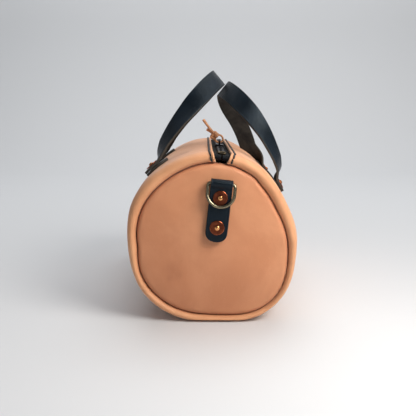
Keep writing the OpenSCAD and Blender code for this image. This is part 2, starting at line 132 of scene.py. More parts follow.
def off_wall(x, a, proud):
    x, a, proud = np.broadcast_arrays(*[np.asarray(v, float) for v in (x, a, proud)])
    r = wall_r(a) + proud
    return np.stack([x, r * sin(a), BAG_Z + r * cos(a)], -1)


def arc_deg(length, r):
    return np.degrees(length / r)


print("wall radius, top and side:", wall_r(0.0).round(2), wall_r(90.0).round(2))

# %% [markdown]
# ## Making meshes from grids
#
# Nearly every soft piece here is a grid of points swept from one place to another, so one helper
# turns a grid into a mesh. It takes a material number for each face and numbers for each point,
# such as how near it is to a seam. The materials read those numbers back as attributes: painted
# shade then follows the seams, and wear the edges, exactly, which noise alone can't do.


# %% Mesh helpers
def new_piece(name, points, faces, materials, kinds=None, marks=None, smooth=True):
    mesh = bpy.data.meshes.new(name)
    mesh.from_pydata((np.asarray(points) * MM).tolist(), [], [list(map(int, f)) for f in faces])
    for m in materials:
        mesh.materials.append(m)
    if kinds is not None:
        mesh.polygons.foreach_set("material_index", np.asarray(kinds, dtype=np.int32))
    for mark, values in (marks or {}).items():
        layer = mesh.attributes.new(mark, "FLOAT", "POINT")
        layer.data.foreach_set("value", np.asarray(values, dtype=np.float32).ravel())
    mesh.polygons.foreach_set("use_smooth", [smooth] * len(mesh.polygons))
    mesh.update()
    piece = bpy.data.objects.new(name, mesh)
    bpy.context.scene.collection.objects.link(piece)
    return piece


def grid_faces(rows, cols, wrap=False, start=0):
    faces = []
    for i in range(rows - 1):
        for j in range(cols if wrap else cols - 1):
            k = (j + 1) % cols
            quad = [i * cols + j, i * cols + k, (i + 1) * cols + k, (i + 1) * cols + j]
            faces.append([start + v for v in quad])
    return faces


def end_caps(rows, n):
    """One face on the first ring of n points, and one on the last."""
    return [list(range(n))[::-1], list(range((rows - 1) * n, rows * n))]


def backward(faces):
    return [face[::-1] for face in faces]


def join_parts(parts):
    points, faces, start = [], [], 0
    for p, f in parts:
        points.append(np.asarray(p))
        faces += [[start + i for i in face] for face in f]
        start += len(p)
    return np.concatenate(points), faces


def place(piece, body, slot, *nodes):
    if nodes:
        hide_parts(*nodes)
    if body:
        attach(piece, body)
    return piece


def soft_noise(p, wave, seed):
    """Smooth bumps about wave long, from -1 to 1, from a fixed sum of tilted waves."""
    rng = np.random.RandomState(seed)
    total = np.zeros(np.asarray(p).shape[:-1])
    for _ in range(7):
        way = rng.normal(size=3)
        way /= np.linalg.norm(way)
        along = np.asarray(p) @ way
        total += np.sin(along * 2 * np.pi / (wave * rng.uniform(0.7, 1.5)) + rng.uniform(0, 6.3))
    return total / 3.2


# %% [markdown]
# ## Finishes
#
# Effects that several materials share are node groups: leather grain, slow patches of tone, wear
# (also used for painted shade along seams) and scratches. A group only puts out masks and heights.
# The shader itself stays in each material, with its plain numbers set on its own sockets.


# %% Node helpers
def group(name, inputs, outputs):
    """A node group. Gives its tree, the values that come in and the sockets that go out."""
    tree = bpy.data.node_groups.new(name, "ShaderNodeTree")
    for label, value in inputs.items():
        socket = tree.interface.new_socket(label, in_out="INPUT", socket_type="NodeSocketFloat")
        socket.default_value = value
    for label in outputs:
        tree.interface.new_socket(label, in_out="OUTPUT", socket_type="NodeSocketFloat")
    return tree, tree.nodes.new("NodeGroupInput").outputs, tree.nodes.new("NodeGroupOutput").inputs


def feed(tree, socket, value):
    """Gives a socket another node's output, or a plain value."""
    if isinstance(value, bpy.types.NodeSocket):
        tree.links.new(value, socket)
    else:
        socket.default_value = value


def add(tree, kind, values=None, **settings):
    node = tree.nodes.new("ShaderNode" + kind)
    for key, value in settings.items():
        setattr(node, key, value)
    for key, value in (values or {}).items():
        feed(tree, node.inputs[key], value)
    return node


def maths(tree, what, *values):
    return add(tree, "Math", dict(enumerate(values)), operation=what).outputs[0]


def spread(tree, value, low, high, to_low=0.0, to_high=1.0):
    ends = {"Value": value, "From Min": low, "From Max": high, "To Min": to_low, "To Max": to_high}
    return add(tree, "MapRange", ends, interpolation_type="SMOOTHSTEP").outputs[0]


def mix(tree, factor, a, b):
    return add(tree, "Mix", {0: factor, 6: a, 7: b}, data_type="RGBA").outputs[2]


def tint(tree, base, mask, amount, color):
    return mix(tree, maths(tree, "MULTIPLY", mask, amount), base, color)


def noise(tree, where, **values):
    return add(tree, "TexNoise", {"Vector": where, **values})


def object_space(tree):
    return add(tree, "TexCoord").outputs["Object"]


def mark(tree, name):
    return add(tree, "Attribute", attribute_name=name).outputs["Fac"]


def rgb(r, g, b):
    """A colour given as it looks on screen, turned into the linear values that shaders use."""
    def line(v):
        v = v / 255
        return v / 12.92 if v <= 0.04045 else ((v + 0.055) / 1.055) ** 2.4
    return (line(r), line(g), line(b), 1.0)


# %% Shared groups
def make_grain():
    """Fine leather grain: small cells with pores between them, on soft uneven swellings."""
    tree, given, out = group("leather_grain", {"Cells": 900.0, "Swell": 140.0}, ["Height", "Pores"])
    where, push = object_space(tree), 0.0012
    bent = noise(tree, where, Scale=260.0, Detail=2.0).outputs["Color"]
    warp = add(tree, "VectorMath", {0: bent, 1: (push, push, push), 2: where}, operation="MULTIPLY_ADD")
    cells = add(tree, "TexVoronoi", {"Vector": warp.outputs[0], "Scale": given["Cells"]},
                feature="DISTANCE_TO_EDGE")
    pores = spread(tree, cells.outputs["Distance"], 0.0, 0.22)
    swell = noise(tree, where, Scale=given["Swell"], Detail=3.0, Roughness=0.55)
    feed(tree, out["Height"], maths(tree, "MULTIPLY_ADD", pores, 0.35, swell.outputs[0]))
    feed(tree, out["Pores"], pores)
    return tree


def make_tone():
    """Slow patches of tone, with finer clouding inside them, and a few small darker flecks."""
    tree, given, out = group("leather_tone", {"Patch": 18.0, "Fleck": 0.62}, ["Value", "Flecks"])
    where = object_space(tree)
    slow = noise(tree, where, Scale=given["Patch"], Detail=4.0, Roughness=0.6, Distortion=0.4)
    fleck = noise(tree, where, Scale=170.0, Detail=2.0)
    feed(tree, out["Value"], spread(tree, slow.outputs[0], 0.3, 0.7))
    over = maths(tree, "SUBTRACT", fleck.outputs[0], given["Fleck"])
    feed(tree, out["Flecks"], spread(tree, over, 0.0, 0.06))
    return tree


def make_wear_and_shade():
    """Rubbed edges, and painted shade along seams: the edge mark, broken up by noise so that it comes and
    goes.
    """
    tree, given, out = group("edge_wear_and_shade", {"Edge": 0.0, "Amount": 0.5, "Break": 300.0}, ["Mask"])
    rough = noise(tree, object_space(tree), Scale=given["Break"], Detail=4.0, Roughness=0.7)
    reach = maths(tree, "MULTIPLY_ADD", given["Edge"], given["Amount"], -0.5)
    feed(tree, out["Mask"], spread(tree, maths(tree, "ADD", reach, rough.outputs[0]), 0.35, 0.6))
    return tree


def make_scratches():
    """Thin random scratches: a stretched noise cut to narrow lines."""
    tree, given, out = group("fine_scratches", {"Scale": 60.0}, ["Mask"])
    stretch = {"Vector": object_space(tree), "Rotation": (0.6, 0.2, 0.9), "Scale": (1.0, 9.0, 1.0)}
    where = add(tree, "Mapping", stretch).outputs[0]
    line = noise(tree, where, Scale=given["Scale"], Detail=5.0, Distortion=0.6)
    near = maths(tree, "ABSOLUTE", maths(tree, "SUBTRACT", line.outputs[0], 0.5))
    feed(tree, out["Mask"], spread(tree, near, 0.004, 0.0))
    return tree


GRAIN, TONE, WEAR_AND_SHADE, SCRATCH = make_grain(), make_tone(), make_wear_and_shade(), make_scratches()


def use(tree, shared, **values):
    return add(tree, "Group", values, node_tree=shared).outputs


def finish(name, **sockets):
    """A material with one Principled shader. Plain numbers go straight onto its sockets."""
    material = bpy.data.materials.new(name)
    material.use_nodes = True
    tree = material.node_tree
    shader = tree.nodes["Principled BSDF"]
    for key, value in sockets.items():
        shader.inputs[key.replace("_", " ")].default_value = value
    return material, tree, shader


def wire(tree, shader, color=None, roughness=None, height=None, depth=0.0003, strength=1.0):
    if color is not None:
        tree.links.new(color, shader.inputs["Base Color"])
    if roughness is not None:
        tree.links.new(roughness, shader.inputs["Roughness"])
    if height is not None:
        bump = add(tree, "Bump", {"Height": height, "Strength": strength, "Distance": depth})
        tree.links.new(bump.outputs[0], shader.inputs["Normal"])


print("shared groups:", [g.name for g in bpy.data.node_groups])

# %% [markdown]
# ### Natural leather
#
# Undyed tooling leather is a warm peach tan. The seam mark paints shade into the end seams'
# grooves, darkening the leather to a red brown there, and the raw cut edge shows paler fibres.
# Its grain is very fine, with a low satin sheen.

# %% Natural leather


def natural_leather(name, light, deep, seam_shade_color):
    material, tree, shader = finish(name, Specular_IOR_Level=0.38, Sheen_Weight=0.12, Sheen_Roughness=0.5)
    tone = use(tree, TONE, Patch=16.0, Fleck=0.72)
    grain = use(tree, GRAIN, Cells=1100.0, Swell=170.0)
    scratch = use(tree, SCRATCH, Scale=26.0)
    # Painted shade: the seam mark darkens the leather to a red brown into the end seams' grooves, once evenly
    # and once broken up by noise.
    seam = mark(tree, "seam")
    broken_seam_shade = use(tree, WEAR_AND_SHADE, Edge=seam, Amount=0.75, Break=90.0)
    base = mix(tree, tone["Value"], light, deep)
    base = tint(tree, base, tone["Flecks"], 0.06, rgb(158, 98, 66))
    base = tint(tree, base, scratch["Mask"], 0.16, rgb(232, 186, 150))
    # Stains and painted shade: this mark holds real stain spots and the top's faint line, and on the panels
    # also painted shade toward their lower front.
    base = tint(tree, base, mark(tree, "stain_and_shade"), 0.5, rgb(136, 74, 46))
    base = tint(tree, base, seam, 0.5, seam_shade_color)
    base = tint(tree, base, broken_seam_shade["Mask"], 0.25, seam_shade_color)
    rough = maths(tree, "MULTIPLY_ADD", tone["Value"], 0.1, 0.5)
    rough = maths(tree, "SUBTRACT", rough, maths(tree, "MULTIPLY", grain["Pores"], 0.04))
    wire(tree, shader, base, rough, grain["Height"], 0.00022, 0.5)
    return material


# The third colour is the red brown of the painted shade in the seam grooves.
LEATHER_LIGHT, LEATHER_DEEP, SEAM_SHADE_BROWN = rgb(229, 167, 122), rgb(212, 149, 106), rgb(138, 68, 46)
natural = natural_leather("natural_leather", LEATHER_LIGHT, LEATHER_DEEP, SEAM_SHADE_BROWN)
panel_leather = natural_leather("panel_leather", rgb(220, 153, 112), rgb(205, 137, 97), SEAM_SHADE_BROWN)

raw, tree, shader = finish("raw_leather_edge", Roughness=0.85, Specular_IOR_Level=0.2)
fibre = noise(tree, object_space(tree), Scale=900.0, Detail=6.0, Roughness=0.8)
wire(tree, shader, mix(tree, fibre.outputs[0], rgb(190, 138, 104), rgb(236, 206, 178)),
     None, fibre.outputs[0], 0.0003, 0.8)

# %% [markdown]
# ### Black leather
#
# The straps are black bridle leather with a blue cast. The grain side is waxed and takes a broad
# soft sheen, the flesh side is brown black and velvety, and the cut edges are dyed but grey where
# they have rubbed.

# %% Black leather


def black_leather(name, dark, light, worn, rough, sheen):
    material, tree, shader = finish(name, Specular_IOR_Level=sheen, Specular_Tint=(0.72, 0.88, 1.0, 1.0))
    tone = use(tree, TONE, Patch=60.0, Fleck=0.6)
    grain = use(tree, GRAIN, Cells=1300.0, Swell=420.0)
    scratch = use(tree, SCRATCH, Scale=70.0)
    wear = use(tree, WEAR_AND_SHADE, Edge=mark(tree, "edge"), Amount=0.7, Break=420.0)
    base = mix(tree, tone["Value"], dark, light)
    base = tint(tree, base, scratch["Mask"], 0.15, worn)
    base = tint(tree, base, wear["Mask"], 0.6, worn)
    roughness = maths(tree, "MULTIPLY_ADD", tone["Value"], 0.14, rough)
    wire(tree, shader, base, roughness, grain["Height"], 0.00018, 0.6)
    return material


black_grain = black_leather("black_leather", rgb(2, 8, 16), rgb(6, 17, 28), rgb(34, 44, 56), 0.3, 0.32)
black_flesh = black_leather("black_flesh_side", rgb(30, 28, 27), rgb(56, 53, 49), rgb(84, 78, 72), 0.85, 0.15)
black_edge = black_leather("black_cut_edge", rgb(13, 13, 15), rgb(34, 33, 33), rgb(84, 78, 70), 0.7, 0.25)

# %% [markdown]
# ### Metals, cloth and thread
#
# Copper rivets stay bright on their domes and brown in their hollows. The D-rings and stops are
# antique brass: a dark patina that has rubbed through on edges. The zip's teeth are a dark plated
# metal on black woven tape.

# %% Metals, cloth and thread


def metal(name, bright, dull, rough, wear_amount, patch):
    material, tree, shader = finish(name, Metallic=1.0)
    tone = use(tree, TONE, Patch=patch, Fleck=0.55)
    wear = use(tree, WEAR_AND_SHADE, Edge=mark(tree, "edge"), Amount=wear_amount, Break=700.0)
    scratch = use(tree, SCRATCH, Scale=150.0)
    base = mix(tree, tone["Value"], dull, mix(tree, 0.45, dull, bright))
    base = mix(tree, wear["Mask"], base, bright)
    roughness = maths(tree, "SUBTRACT", rough, maths(tree, "MULTIPLY", wear["Mask"], 0.14))
    roughness = maths(tree, "MULTIPLY_ADD", scratch["Mask"], 0.2, roughness)
    height = maths(tree, "MULTIPLY_ADD", tone["Flecks"], -0.4, tone["Value"])
    wire(tree, shader, base, roughness, height, 0.0002, 0.35)
    return material


copper = metal("copper", rgb(164, 90, 60), rgb(88, 43, 31), 0.36, 0.7, 260.0)
dome_copper = metal("copper_dome", rgb(226, 162, 106), rgb(146, 80, 48), 0.26, 0.9, 320.0)
old_brass = metal("antique_brass", rgb(146, 136, 112), rgb(58, 53, 45), 0.38, 0.8, 200.0)
zip_brass = metal("zip_brass", rgb(128, 112, 84), rgb(40, 35, 29), 0.42, 0.5, 240.0)
dark_metal = metal("dark_metal", rgb(92, 92, 96), rgb(16, 16, 19), 0.34, 0.42, 300.0)

tape_cloth, tree, shader = finish("black_tape", Specular_IOR_Level=0.12, Sheen_Weight=0.04)
where = object_space(tree)
warp, weft = [add(tree, "TexWave", {"Vector": where, "Scale": 420.0}, bands_direction=d).outputs["Fac"]
              for d in ("X", "Y")]
cloth = maths(tree, "MAXIMUM", warp, weft)
lint = noise(tree, where, Scale=600.0, Detail=3.0).outputs[0]
shade = mix(tree, maths(tree, "MULTIPLY", cloth, lint), rgb(3, 4, 7), rgb(17, 18, 23))
wire(tree, shader, shade, spread(tree, lint, 0, 1, 0.7, 0.95), cloth, 0.0003, 0.8)


def thread(name, dark, light):
    material, tree, shader = finish(name, Specular_IOR_Level=0.35, Sheen_Weight=0.2)
    strand = add(tree, "TexWave", {"Vector": object_space(tree), "Scale": 330.0, "Distortion": 1.5},
                 bands_direction="DIAGONAL").outputs["Fac"]
    rough = spread(tree, strand, 0, 1, 0.75, 0.5)
    wire(tree, shader, mix(tree, strand, dark, light), rough, strand, 0.0003, 0.9)
    return material


black_thread = thread("black_thread", rgb(4, 5, 9), rgb(26, 27, 32))
tan_thread = thread("natural_thread", rgb(168, 108, 74), rgb(226, 176, 132))
print("materials:", len(bpy.data.materials))

# %% [markdown]
# ## The barrel
#
# The wrap is one sheet from seam to seam. It runs along the flat wall, turns over the lip at each
# end, and tucks into the seam. Two edges of the sheet meet the zip, and they are cut raw. I build
# it as a fine grid of that line turned round the barrel, doubled inward for its thickness. Soft
# waves, puckers on the lips and a pull toward the handles keep it from looking turned on a lathe.

# %% The line from seam to seam


# How the seam wanders round the end, where the wrap was pulled over the panel by hand.
WANDER = ((0.7, -97, 6), (-0.7, -113, 8), (0.8, 44, 7), (-0.4, 33, 6), (1.5, -54, 24), (1.2, 66, 26),
          (-1.6, 4, 18), (-1.6, 142, 26), (1.7, -172, 40))


def lip_drop(a):
    return 8.4 + 2.2 * cos(a) + humps(a, WANDER) + 0.18 * sin(7 * a + 10)


def lip_r(a):
    return lip_drop(a) / (1 - cos(LIP_TURN))


def line_at(turn, tuck, a, off):
    """Point on the line beyond the flat wall: how far it has turned, how far it is tucked in."""
    x = FLAT_X + (ROLL - off) * sin(turn) - tuck
    return x, lip_r(a) - (lip_r(a) - off) * cos(turn)


def mouth_half(turn):
    return (MOUTH_W - (MOUTH_W - MOUTH_END) * turn / LIP_TURN) / 2


LIP_TURNS = np.concatenate([np.linspace(0, 120, 16), np.linspace(127, LIP_TURN, 5)])
TUCKS = np.array([1.2, 3.0, SEAM_IN])
FLAT_XS = np.linspace(-FLAT_X, FLAT_X, 96)
lip_part = [(t, 0.0) for t in LIP_TURNS[1:]] + [(LIP_TURN, d) for d in TUCKS]
stations = [(LEFT, t, d, None) for t, d in reversed(lip_part)]
stations += [(0, 0.0, 0.0, x) for x in FLAT_XS]
stations += [(RIGHT, t, d, None) for t, d in lip_part]


def on_station(station, a, off):
    """Where a station of the line lies: how far along, and how deep below the wall."""
    side, turn, tuck, flat = station
    if flat is not None:
        return np.full_like(a, flat), np.full_like(a, off)
    x, deep = line_at(turn, tuck, a, off)
    return side * x, deep


print("stations along the line:", len(stations))

# %% [markdown]
# The waves are bigger near the ends, where the turned leather has spare length, and die away at
# the zip, under the strap patches and on the floor, where something holds the sheet flat.

# %% Barrel skin
EDGE_MM = np.array([0, 0.5, 1.0, 1.5, 2.0, 2.6, 3.2, 3.8, 4.5, 5.5])
EDGE_T = EDGE_MM / (2 * np.pi * BAG_R)
ROUND_T = np.concatenate([EDGE_T, np.linspace(0.016, 0.984, 246), 1 - EDGE_T[::-1]])
STITCH_IN = 3.2
FLOOR_CALM = 6.0


def wall_dent(p, a, turn):
    """How far the wall stands out from its plain shape, in millimetres."""
    beside_zip = 1 - hump(a, LEAN, 22)
    on_floor = 1 - hump(a, 180, 30)
    calm = np.clip(beside_zip, 0.08, 1) * np.clip(on_floor, 0, 1)
    slow = 0.75 * soft_noise(p, 95, 11) + 0.3 * soft_noise(p, 38, 5)
    round_lip = np.clip(turn / 60, 0, 1)
    pucker = 0.34 * sin(a * 13 + 40 * sin(a * 2)) + 0.2 * sin(a * 29 + 60 * sin(a * 3 + 50))
    return calm * (slow * (1 - 0.55 * round_lip)) + round_lip * pucker * (0.5 + 0.5 * soft_noise(p, 60, 8))


def patch_ease(p, a):
    """Near 0 under the strap patches, so that the wall stays where they are."""
    ease = np.ones(p.shape[:-1])
    for side in (FRONT, BACK):
        for x in (-58, 58):
            ease *= 1 - np.exp(-((p[..., 0] - x) / 20) ** 4 - (turned(a - LEAN - side * 50) / 15) ** 4)
    return ease


def welt(d):
    """The raised edge beside the zip and the groove under its stitches, d in from the edge."""
    return 0.8 * np.exp(-(d - 1.1) ** 2) - 0.45 * np.exp(-((d - STITCH_IN) / 0.8) ** 2)


def way_out(side, turn, a):
    """Off the wall at first, and along the barrel once the lip has turned over."""
    ends = 1.0 if turn > 90 else abs(sin(turn))
    way = wall_n(a)
    return np.stack([np.full_like(a, side * ends), sin(way) * (1 - ends), cos(way) * (1 - ends)], -1)


def barrel_grid(off):
    """The sheet's outer face where off is 0, and its inner face where off is its thickness."""
    rings, seam_shades = [], []
    for station in stations:
        side, turn, tuck, _ = station
        half = arc_deg(mouth_half(turn), BAG_R - lip_r(LEAN) * (1 - cos(turn)))
        a = LEAN + half + (360 - 2 * half) * ROUND_T
        x, deep = on_station(station, a, off)
        plain = at_wall(x, a, deep - off)
        dent = wall_dent(plain, a, turn) * patch_ease(plain, a) * (tuck == 0)
        dent = np.where(plain[:, 2] < FLOOR_CALM, 0.0, dent)
        if off == 0.0 and tuck == 0:
            dent = dent + welt(np.minimum(ROUND_T, 1 - ROUND_T) * 2 * np.pi * BAG_R)
        rings.append(at_wall(x, a, deep) + way_out(side, turn, a) * dent[:, None])
        # Painted shade mask: from nothing to full where the lip turns into the seam groove.
        seam_shades.append(np.full_like(a, np.clip((turn - 128) / 27, 0, 1) ** 2))
    return np.array(rings), np.array(seam_shades)


def rim_quads(edge, inner_from, over):
    """Quads from an edge of the outer face to the same edge of the inner one."""
    quads = [[a, b, b + inner_from, a + inner_from] for a, b in zip(edge[:-1], edge[1:])]
    return backward(quads) if over else quads


outer, outer_seam_shade = barrel_grid(0.0)
inner, inner_seam_shade = barrel_grid(LEATHER)
rows, cols = outer.shape[:2]
count = rows * cols
points = np.concatenate([outer.reshape(-1, 3), inner.reshape(-1, 3)])
skin = grid_faces(rows, cols)
lining = backward(grid_faces(rows, cols, start=count))
rim = rim_quads(range(0, count, cols), count, False) + rim_quads(range(cols - 1, count, cols), count, True)
rim += rim_quads(range(cols), count, True) + rim_quads(range(count - cols, count), count, False)
seam_shade_mark = np.concatenate([outer_seam_shade.ravel(), inner_seam_shade.ravel()])


def stain_at(p, spots):
    total = np.zeros(p.shape[:-1])
    for x, y, z, r in spots:
        total += np.exp(-(((p - np.array([x, y, z])) ** 2).sum(-1)) / r ** 2)
    return np.clip(total, 0, 1)


# One long faint dark line on the top, beside the zip: where it runs, how it slants and how wide it is.
LINE_FROM, LINE_TO, LINE_Y, LINE_SLANT, LINE_W = 40, 104, 19, 0.16, 0.35
along, across, up = outer[..., 0], outer[..., 1], outer[..., 2]
line_mark = np.exp(-((across - LINE_Y - LINE_SLANT * (along - 60)) / LINE_W) ** 2)
line_mark *= (up > 130) * (along > LINE_FROM) * (along < LINE_TO) * 0.8
stains = np.concatenate([line_mark.ravel(), np.zeros(count)])
barrel = new_piece("barrel_wrap", points, skin + lining + rim, [natural, raw],
                   [0] * (len(skin) + len(lining)) + [1] * len(rim), {"seam": seam_shade_mark, "stain_and_shade": stains})
place(barrel, "bag", "natural_leather", "barrel_shell")
print("barrel wrap:", len(barrel.data.polygons), "faces")

# %% [markdown]
# ## The end panels
#
# Each end is a round panel, stuffed out by what is inside, so it rises quickly from its seam and
# then lies nearly flat. It is gathered a little at the seam and has shallow dents. Its grid runs
# from the middle to the rim, and then turns into the seam.

# %% End panels
EDGE_RISE, EDGE_ROUND, CROWN = 4.0, 5.2, 1.4
# Each spot is where it is and how far it reaches.
PANEL_SPOTS = [(118, -35, 50, 7), (118, -30, 44, 3.5), (118, -38, 41, 2.5)]


def panel_x(f):
    """How far out the panel stands: a rounded shoulder at its seam, then a slight crown."""
    near = np.clip((1 - f) * BAG_R / EDGE_ROUND, 0, 1)
    return SEAM_X + EDGE_RISE * np.sqrt(1 - (1 - near) ** 2.2) + CROWN * (1 - f * f)


def shrunk(ring, share):
    """A copy of the ring, drawn in toward the panel's middle."""
    ring = ring.copy()
    ring[..., 1] *= share
    ring[..., 2] = BAG_Z + (ring[..., 2] - BAG_Z) * share
    return ring


def panel(side):
    n = 288
    f = np.concatenate([[0.02], np.linspace(0.08, 0.8, 22), np.linspace(0.815, 0.93, 12),
                        np.linspace(0.94, 1, 14)])
    a = np.linspace(0, 360, n, endpoint=False)
    F, A = np.meshgrid(f, a, indexing="ij")
    rim = at_wall(0, A, lip_drop(A) + SEAM_GAP)
    p = np.stack([panel_x(F), F * rim[..., 1], BAG_Z + F * (rim[..., 2] - BAG_Z)], -1)
    inside = np.clip(F * 1.6, 0, 1) * (1 - F ** 14)
    tab_calm = 1 - np.exp(-((p[..., 1] - 3) / 14) ** 4 - ((p[..., 2] - BAG_Z - 26) / 28) ** 4)
    dents = 0.5 * soft_noise(p, 55, 21) + 0.16 * soft_noise(p, 19, 22)
    gather = 0.3 * np.exp(-((F - 0.95) / 0.035) ** 2) * sin(A * 17 + 80 * sin(A * 2 + 30))
    p[..., 0] += inside * tab_calm * dents + gather * (1 - F ** 30)
    thin = 1 - LEATHER / 67
    grid = [p]
    for d, share in ((1.5, 1), (3.2, 1), (SEAM_IN, 1), (SEAM_IN, thin), (0.5, thin)):
        grid.append(shrunk(p[-1:], share))
        grid[-1][..., 0] = panel_x(1.0) - d
    grid.append(shrunk(p[::-1][2:], 0.97))
    grid[-1][..., 0] -= LEATHER
    grid = np.concatenate(grid)
    rows, last = len(grid), (len(grid) - 1) * n
    centres = [[panel_x(0.0), 0, BAG_Z], [panel_x(0.0) - LEATHER, 0, BAG_Z]]
    points = np.concatenate([grid.reshape(-1, 3), centres])
    faces = grid_faces(rows, n, wrap=True)
    top, bottom = rows * n, rows * n + 1
    for j in range(n):
        k = (j + 1) % n
        faces += [[top, k, j], [bottom, last + j, last + k]]
    depth = np.zeros(len(points))
    # Painted shade mask: full on the panel's tuck into the seam, rising over its last rim toward the groove.
    depth[:F.size] = (np.clip((F - 0.955) / 0.045, 0, 1) ** 2).ravel()
    depth[F.size:(len(f) + 5) * n] = 1.0
    # Painted shade: each panel darkens toward its lower front, as if turned from the light. It joins the
    # stain spots in one mark.
    painted_shade_low_front = np.clip((-0.6 * points[:, 1] - 0.8 * (points[:, 2] - BAG_Z) + 12) / 78, 0, 1)
    stain_and_shade = stain_at(points, PANEL_SPOTS) * 0.3 + 0.55 * painted_shade_low_front
    if side == LEFT:
        points = points * [-1, 1, 1]
    else:
        faces = backward(faces)
    piece = new_piece("end_panel_stuffed_" + END_WORD[side], points, faces, [panel_leather], None,
                      {"seam": depth, "stain_and_shade": stain_and_shade})
    return place(piece, "bag", "natural_leather", "end_panel_" + END_WORD[side])


panels = [panel(side) for side in (RIGHT, LEFT)]
print("panel faces:", len(panels[0].data.polygons))

# %% [markdown]
# ## Sweeping straps and wires
#
# Straps, tabs, patches, laces and wires are all one shape carried along a path. The sweep takes
# the path's points and the way each faces, squares them up, and places a section there. A strap's
# section is a flat bar with rounded cut edges and a fine pressed crease near each edge, as a
# saddler's creaser leaves.


# %% Sweep helpers
def unit(v):
    return v / np.linalg.norm(v, axis=-1, keepdims=True)


EDGE_R, CREASE_IN, CREASE_W = 0.75, 1.9, 0.45
RIGHT_SHARES = np.array([0.2, 0.5, 0.74, 0.8, 0.86, 0.93, 1])


def strap_section(width, thick, crease=0.16, edge_n=3):
    """Points round the section as (across, out, kind): 0 grain, 1 cut edge, 2 flesh side."""
    half, top = width / 2, thick / 2
    r = min(EDGE_R, thick * 0.32)
    flat = np.concatenate([-RIGHT_SHARES[::-1], RIGHT_SHARES]) * (half - r)
    dip = crease * (np.exp(-((np.abs(flat) - (half - CREASE_IN)) / CREASE_W) ** 2))
    pts = [(u, top - d, 0) for u, d in zip(flat, dip)]
    for i in range(1, edge_n + 1):
        t = 90 * i / (edge_n + 1)
        pts.append((half - r + r * sin(t), top - r + r * cos(t), 0 if i == 1 else 1))
    pts += [(half, top - r, 1), (half + 0.05, 0, 1), (half, -top + r, 1)]
    for i in range(edge_n, 0, -1):
        t = 90 * i / (edge_n + 1)
        pts.append((half - r + r * sin(t), -top + r - r * cos(t), 1))
    low = [(u, -top, 2) for u in flat[::-1]]
    left = [(-u, v, k) for u, v, k in pts[len(flat):]][::-1]
    return pts + low + left


def sweep(path, normals, sections):
    """Grid of points for sections carried along a path. Each section is (across, out) pairs."""
    path, normals = np.asarray(path, float), np.asarray(normals, float)
    along = unit(np.gradient(path, axis=0))
    across = unit(np.cross(along, normals))
    out = np.cross(across, along)
    return path[:, None] + across[:, None] * sections[..., :1] + out[:, None] * sections[..., 1:2]


def strap_piece(name, path, normals, widths, thick, crease=0.16):
    """A strap along a path: grain on its outer side, a cut edge all round, flesh underneath."""
    sections = np.array([np.array(strap_section(max(w, thick * 1.2), thick, crease))[:, :2] for w in widths])
    grid = sweep(path, normals, sections)
    rows, n = grid.shape[:2]
    row = [kind for _, _, kind in strap_section(STRAP_W, thick, crease)]
    kinds = []
    for a, b in zip(row, row[1:] + row[:1]):
        kinds.append(a if a == b else (0 if 0 in (a, b) and 2 not in (a, b) else 1))
    kinds = kinds * (rows - 1) + [1, 1]
    faces = backward(grid_faces(rows, n, wrap=True) + end_caps(rows, n))
    near = np.clip((np.abs(sections[..., 0]) - (np.array(widths)[:, None] / 2 - 1.1)) / 1.1, 0, 1)
    return new_piece(name, grid.reshape(-1, 3), faces, [black_grain, black_edge, black_flesh], kinds,
                     {"edge": near.ravel()})


def tube(path, radius, sides=12, normal=(0.0, 0.0, 1.0), squash=1.0, closed=False):
    """Points and faces of a round wire along a path, by carrying one frame along it."""
    path = np.asarray(path, float)
    if closed:
        along = unit(np.roll(path, -1, 0) - np.roll(path, 1, 0))
    else:
        along = unit(np.gradient(path, axis=0))
    n = np.array(normal, float)
    frames = []
    for t in along:
        n = n - t * np.dot(n, t)
        if np.linalg.norm(n) < 1e-6:
            n = np.cross(t, [1.0, 0.3, 0.2])
        n = n / np.linalg.norm(n)
        frames.append((n, np.cross(t, n)))
    radius = np.broadcast_to(np.asarray(radius, float), len(path))
    turns = np.linspace(0, 2 * np.pi, sides, endpoint=False)
    rings = [p + r * (np.cos(turns)[:, None] * u + squash * np.sin(turns)[:, None] * v)
             for p, r, (u, v) in zip(path, radius, frames)]
    grid = np.array(rings)
    if closed:
        grid = np.concatenate([grid, grid[:1]])
    faces = grid_faces(len(grid), sides, wrap=True)
    if not closed:
        faces += end_caps(len(grid), sides)
    return grid.reshape(-1, 3), faces


# %% [markdown]
# ## The handles
#
# Each handle is one black strap. It lies on the wall over its patch, held by a rivet, lifts off
# at a crease just above, and gives a quarter turn on its way up so that it crosses the top on
# edge. It is one mesh, and its path is eased round that crease over a few millimetres, as real
# leather bends.

# %% Handle path
STRAP_W, STRAP_T, HANDLE_X, HANDLE_A = 19.0, 2.6, 58.0, 51.5
BURR_D, PATCH_T = 12.7, 2.4
HINGE_UP = BURR_D / 2 + 1.6
STRAP_LOW = 2 * LAYER_GAP + PATCH_T
HINGE_ARC = arc_deg(HINGE_UP, BAG_R)
ROOT_SLOPE = {FRONT: 69.0, BACK: 83.5}
RISE = {FRONT: 100.0, BACK: 98.8}
BOW = {FRONT: 29.0, BACK: 45.0}
TWIST_L, RUN = 42.0, 0.3
FAR_PULL, FAR_DROP, PULL_RISE = 12.0, 0.07, 22.0
TURN_V = [0, 4, 8, 17, 29, 42, 54, 75, 99]
TURN_DEG = [0, 12, 20, 29, 37, 46, 58, 80, 90]
BULGE = {FRONT: [1.0, 1.8, 2.2, 2.6, 1.6, 0.6, -0.4, -0.8, 0],
         BACK: [3.4, 5.2, 6.0, 5.7, 4.0, 2.8, 1.6, 0.2, 0]}
LIFT_FROM, ROOT_LOW, STEP = 5.4, 8.7, 0.9
ARCH_POWER, CORNER = 2 / 2.4, 0.38


def ease(t):
    t = np.clip(t, 0, 1)
    return t * t * (3 - 2 * t)


def hinge_at(side):
    return off_wall(0, LEAN + side * (HANDLE_A - HINGE_ARC), STRAP_LOW + STRAP_T)


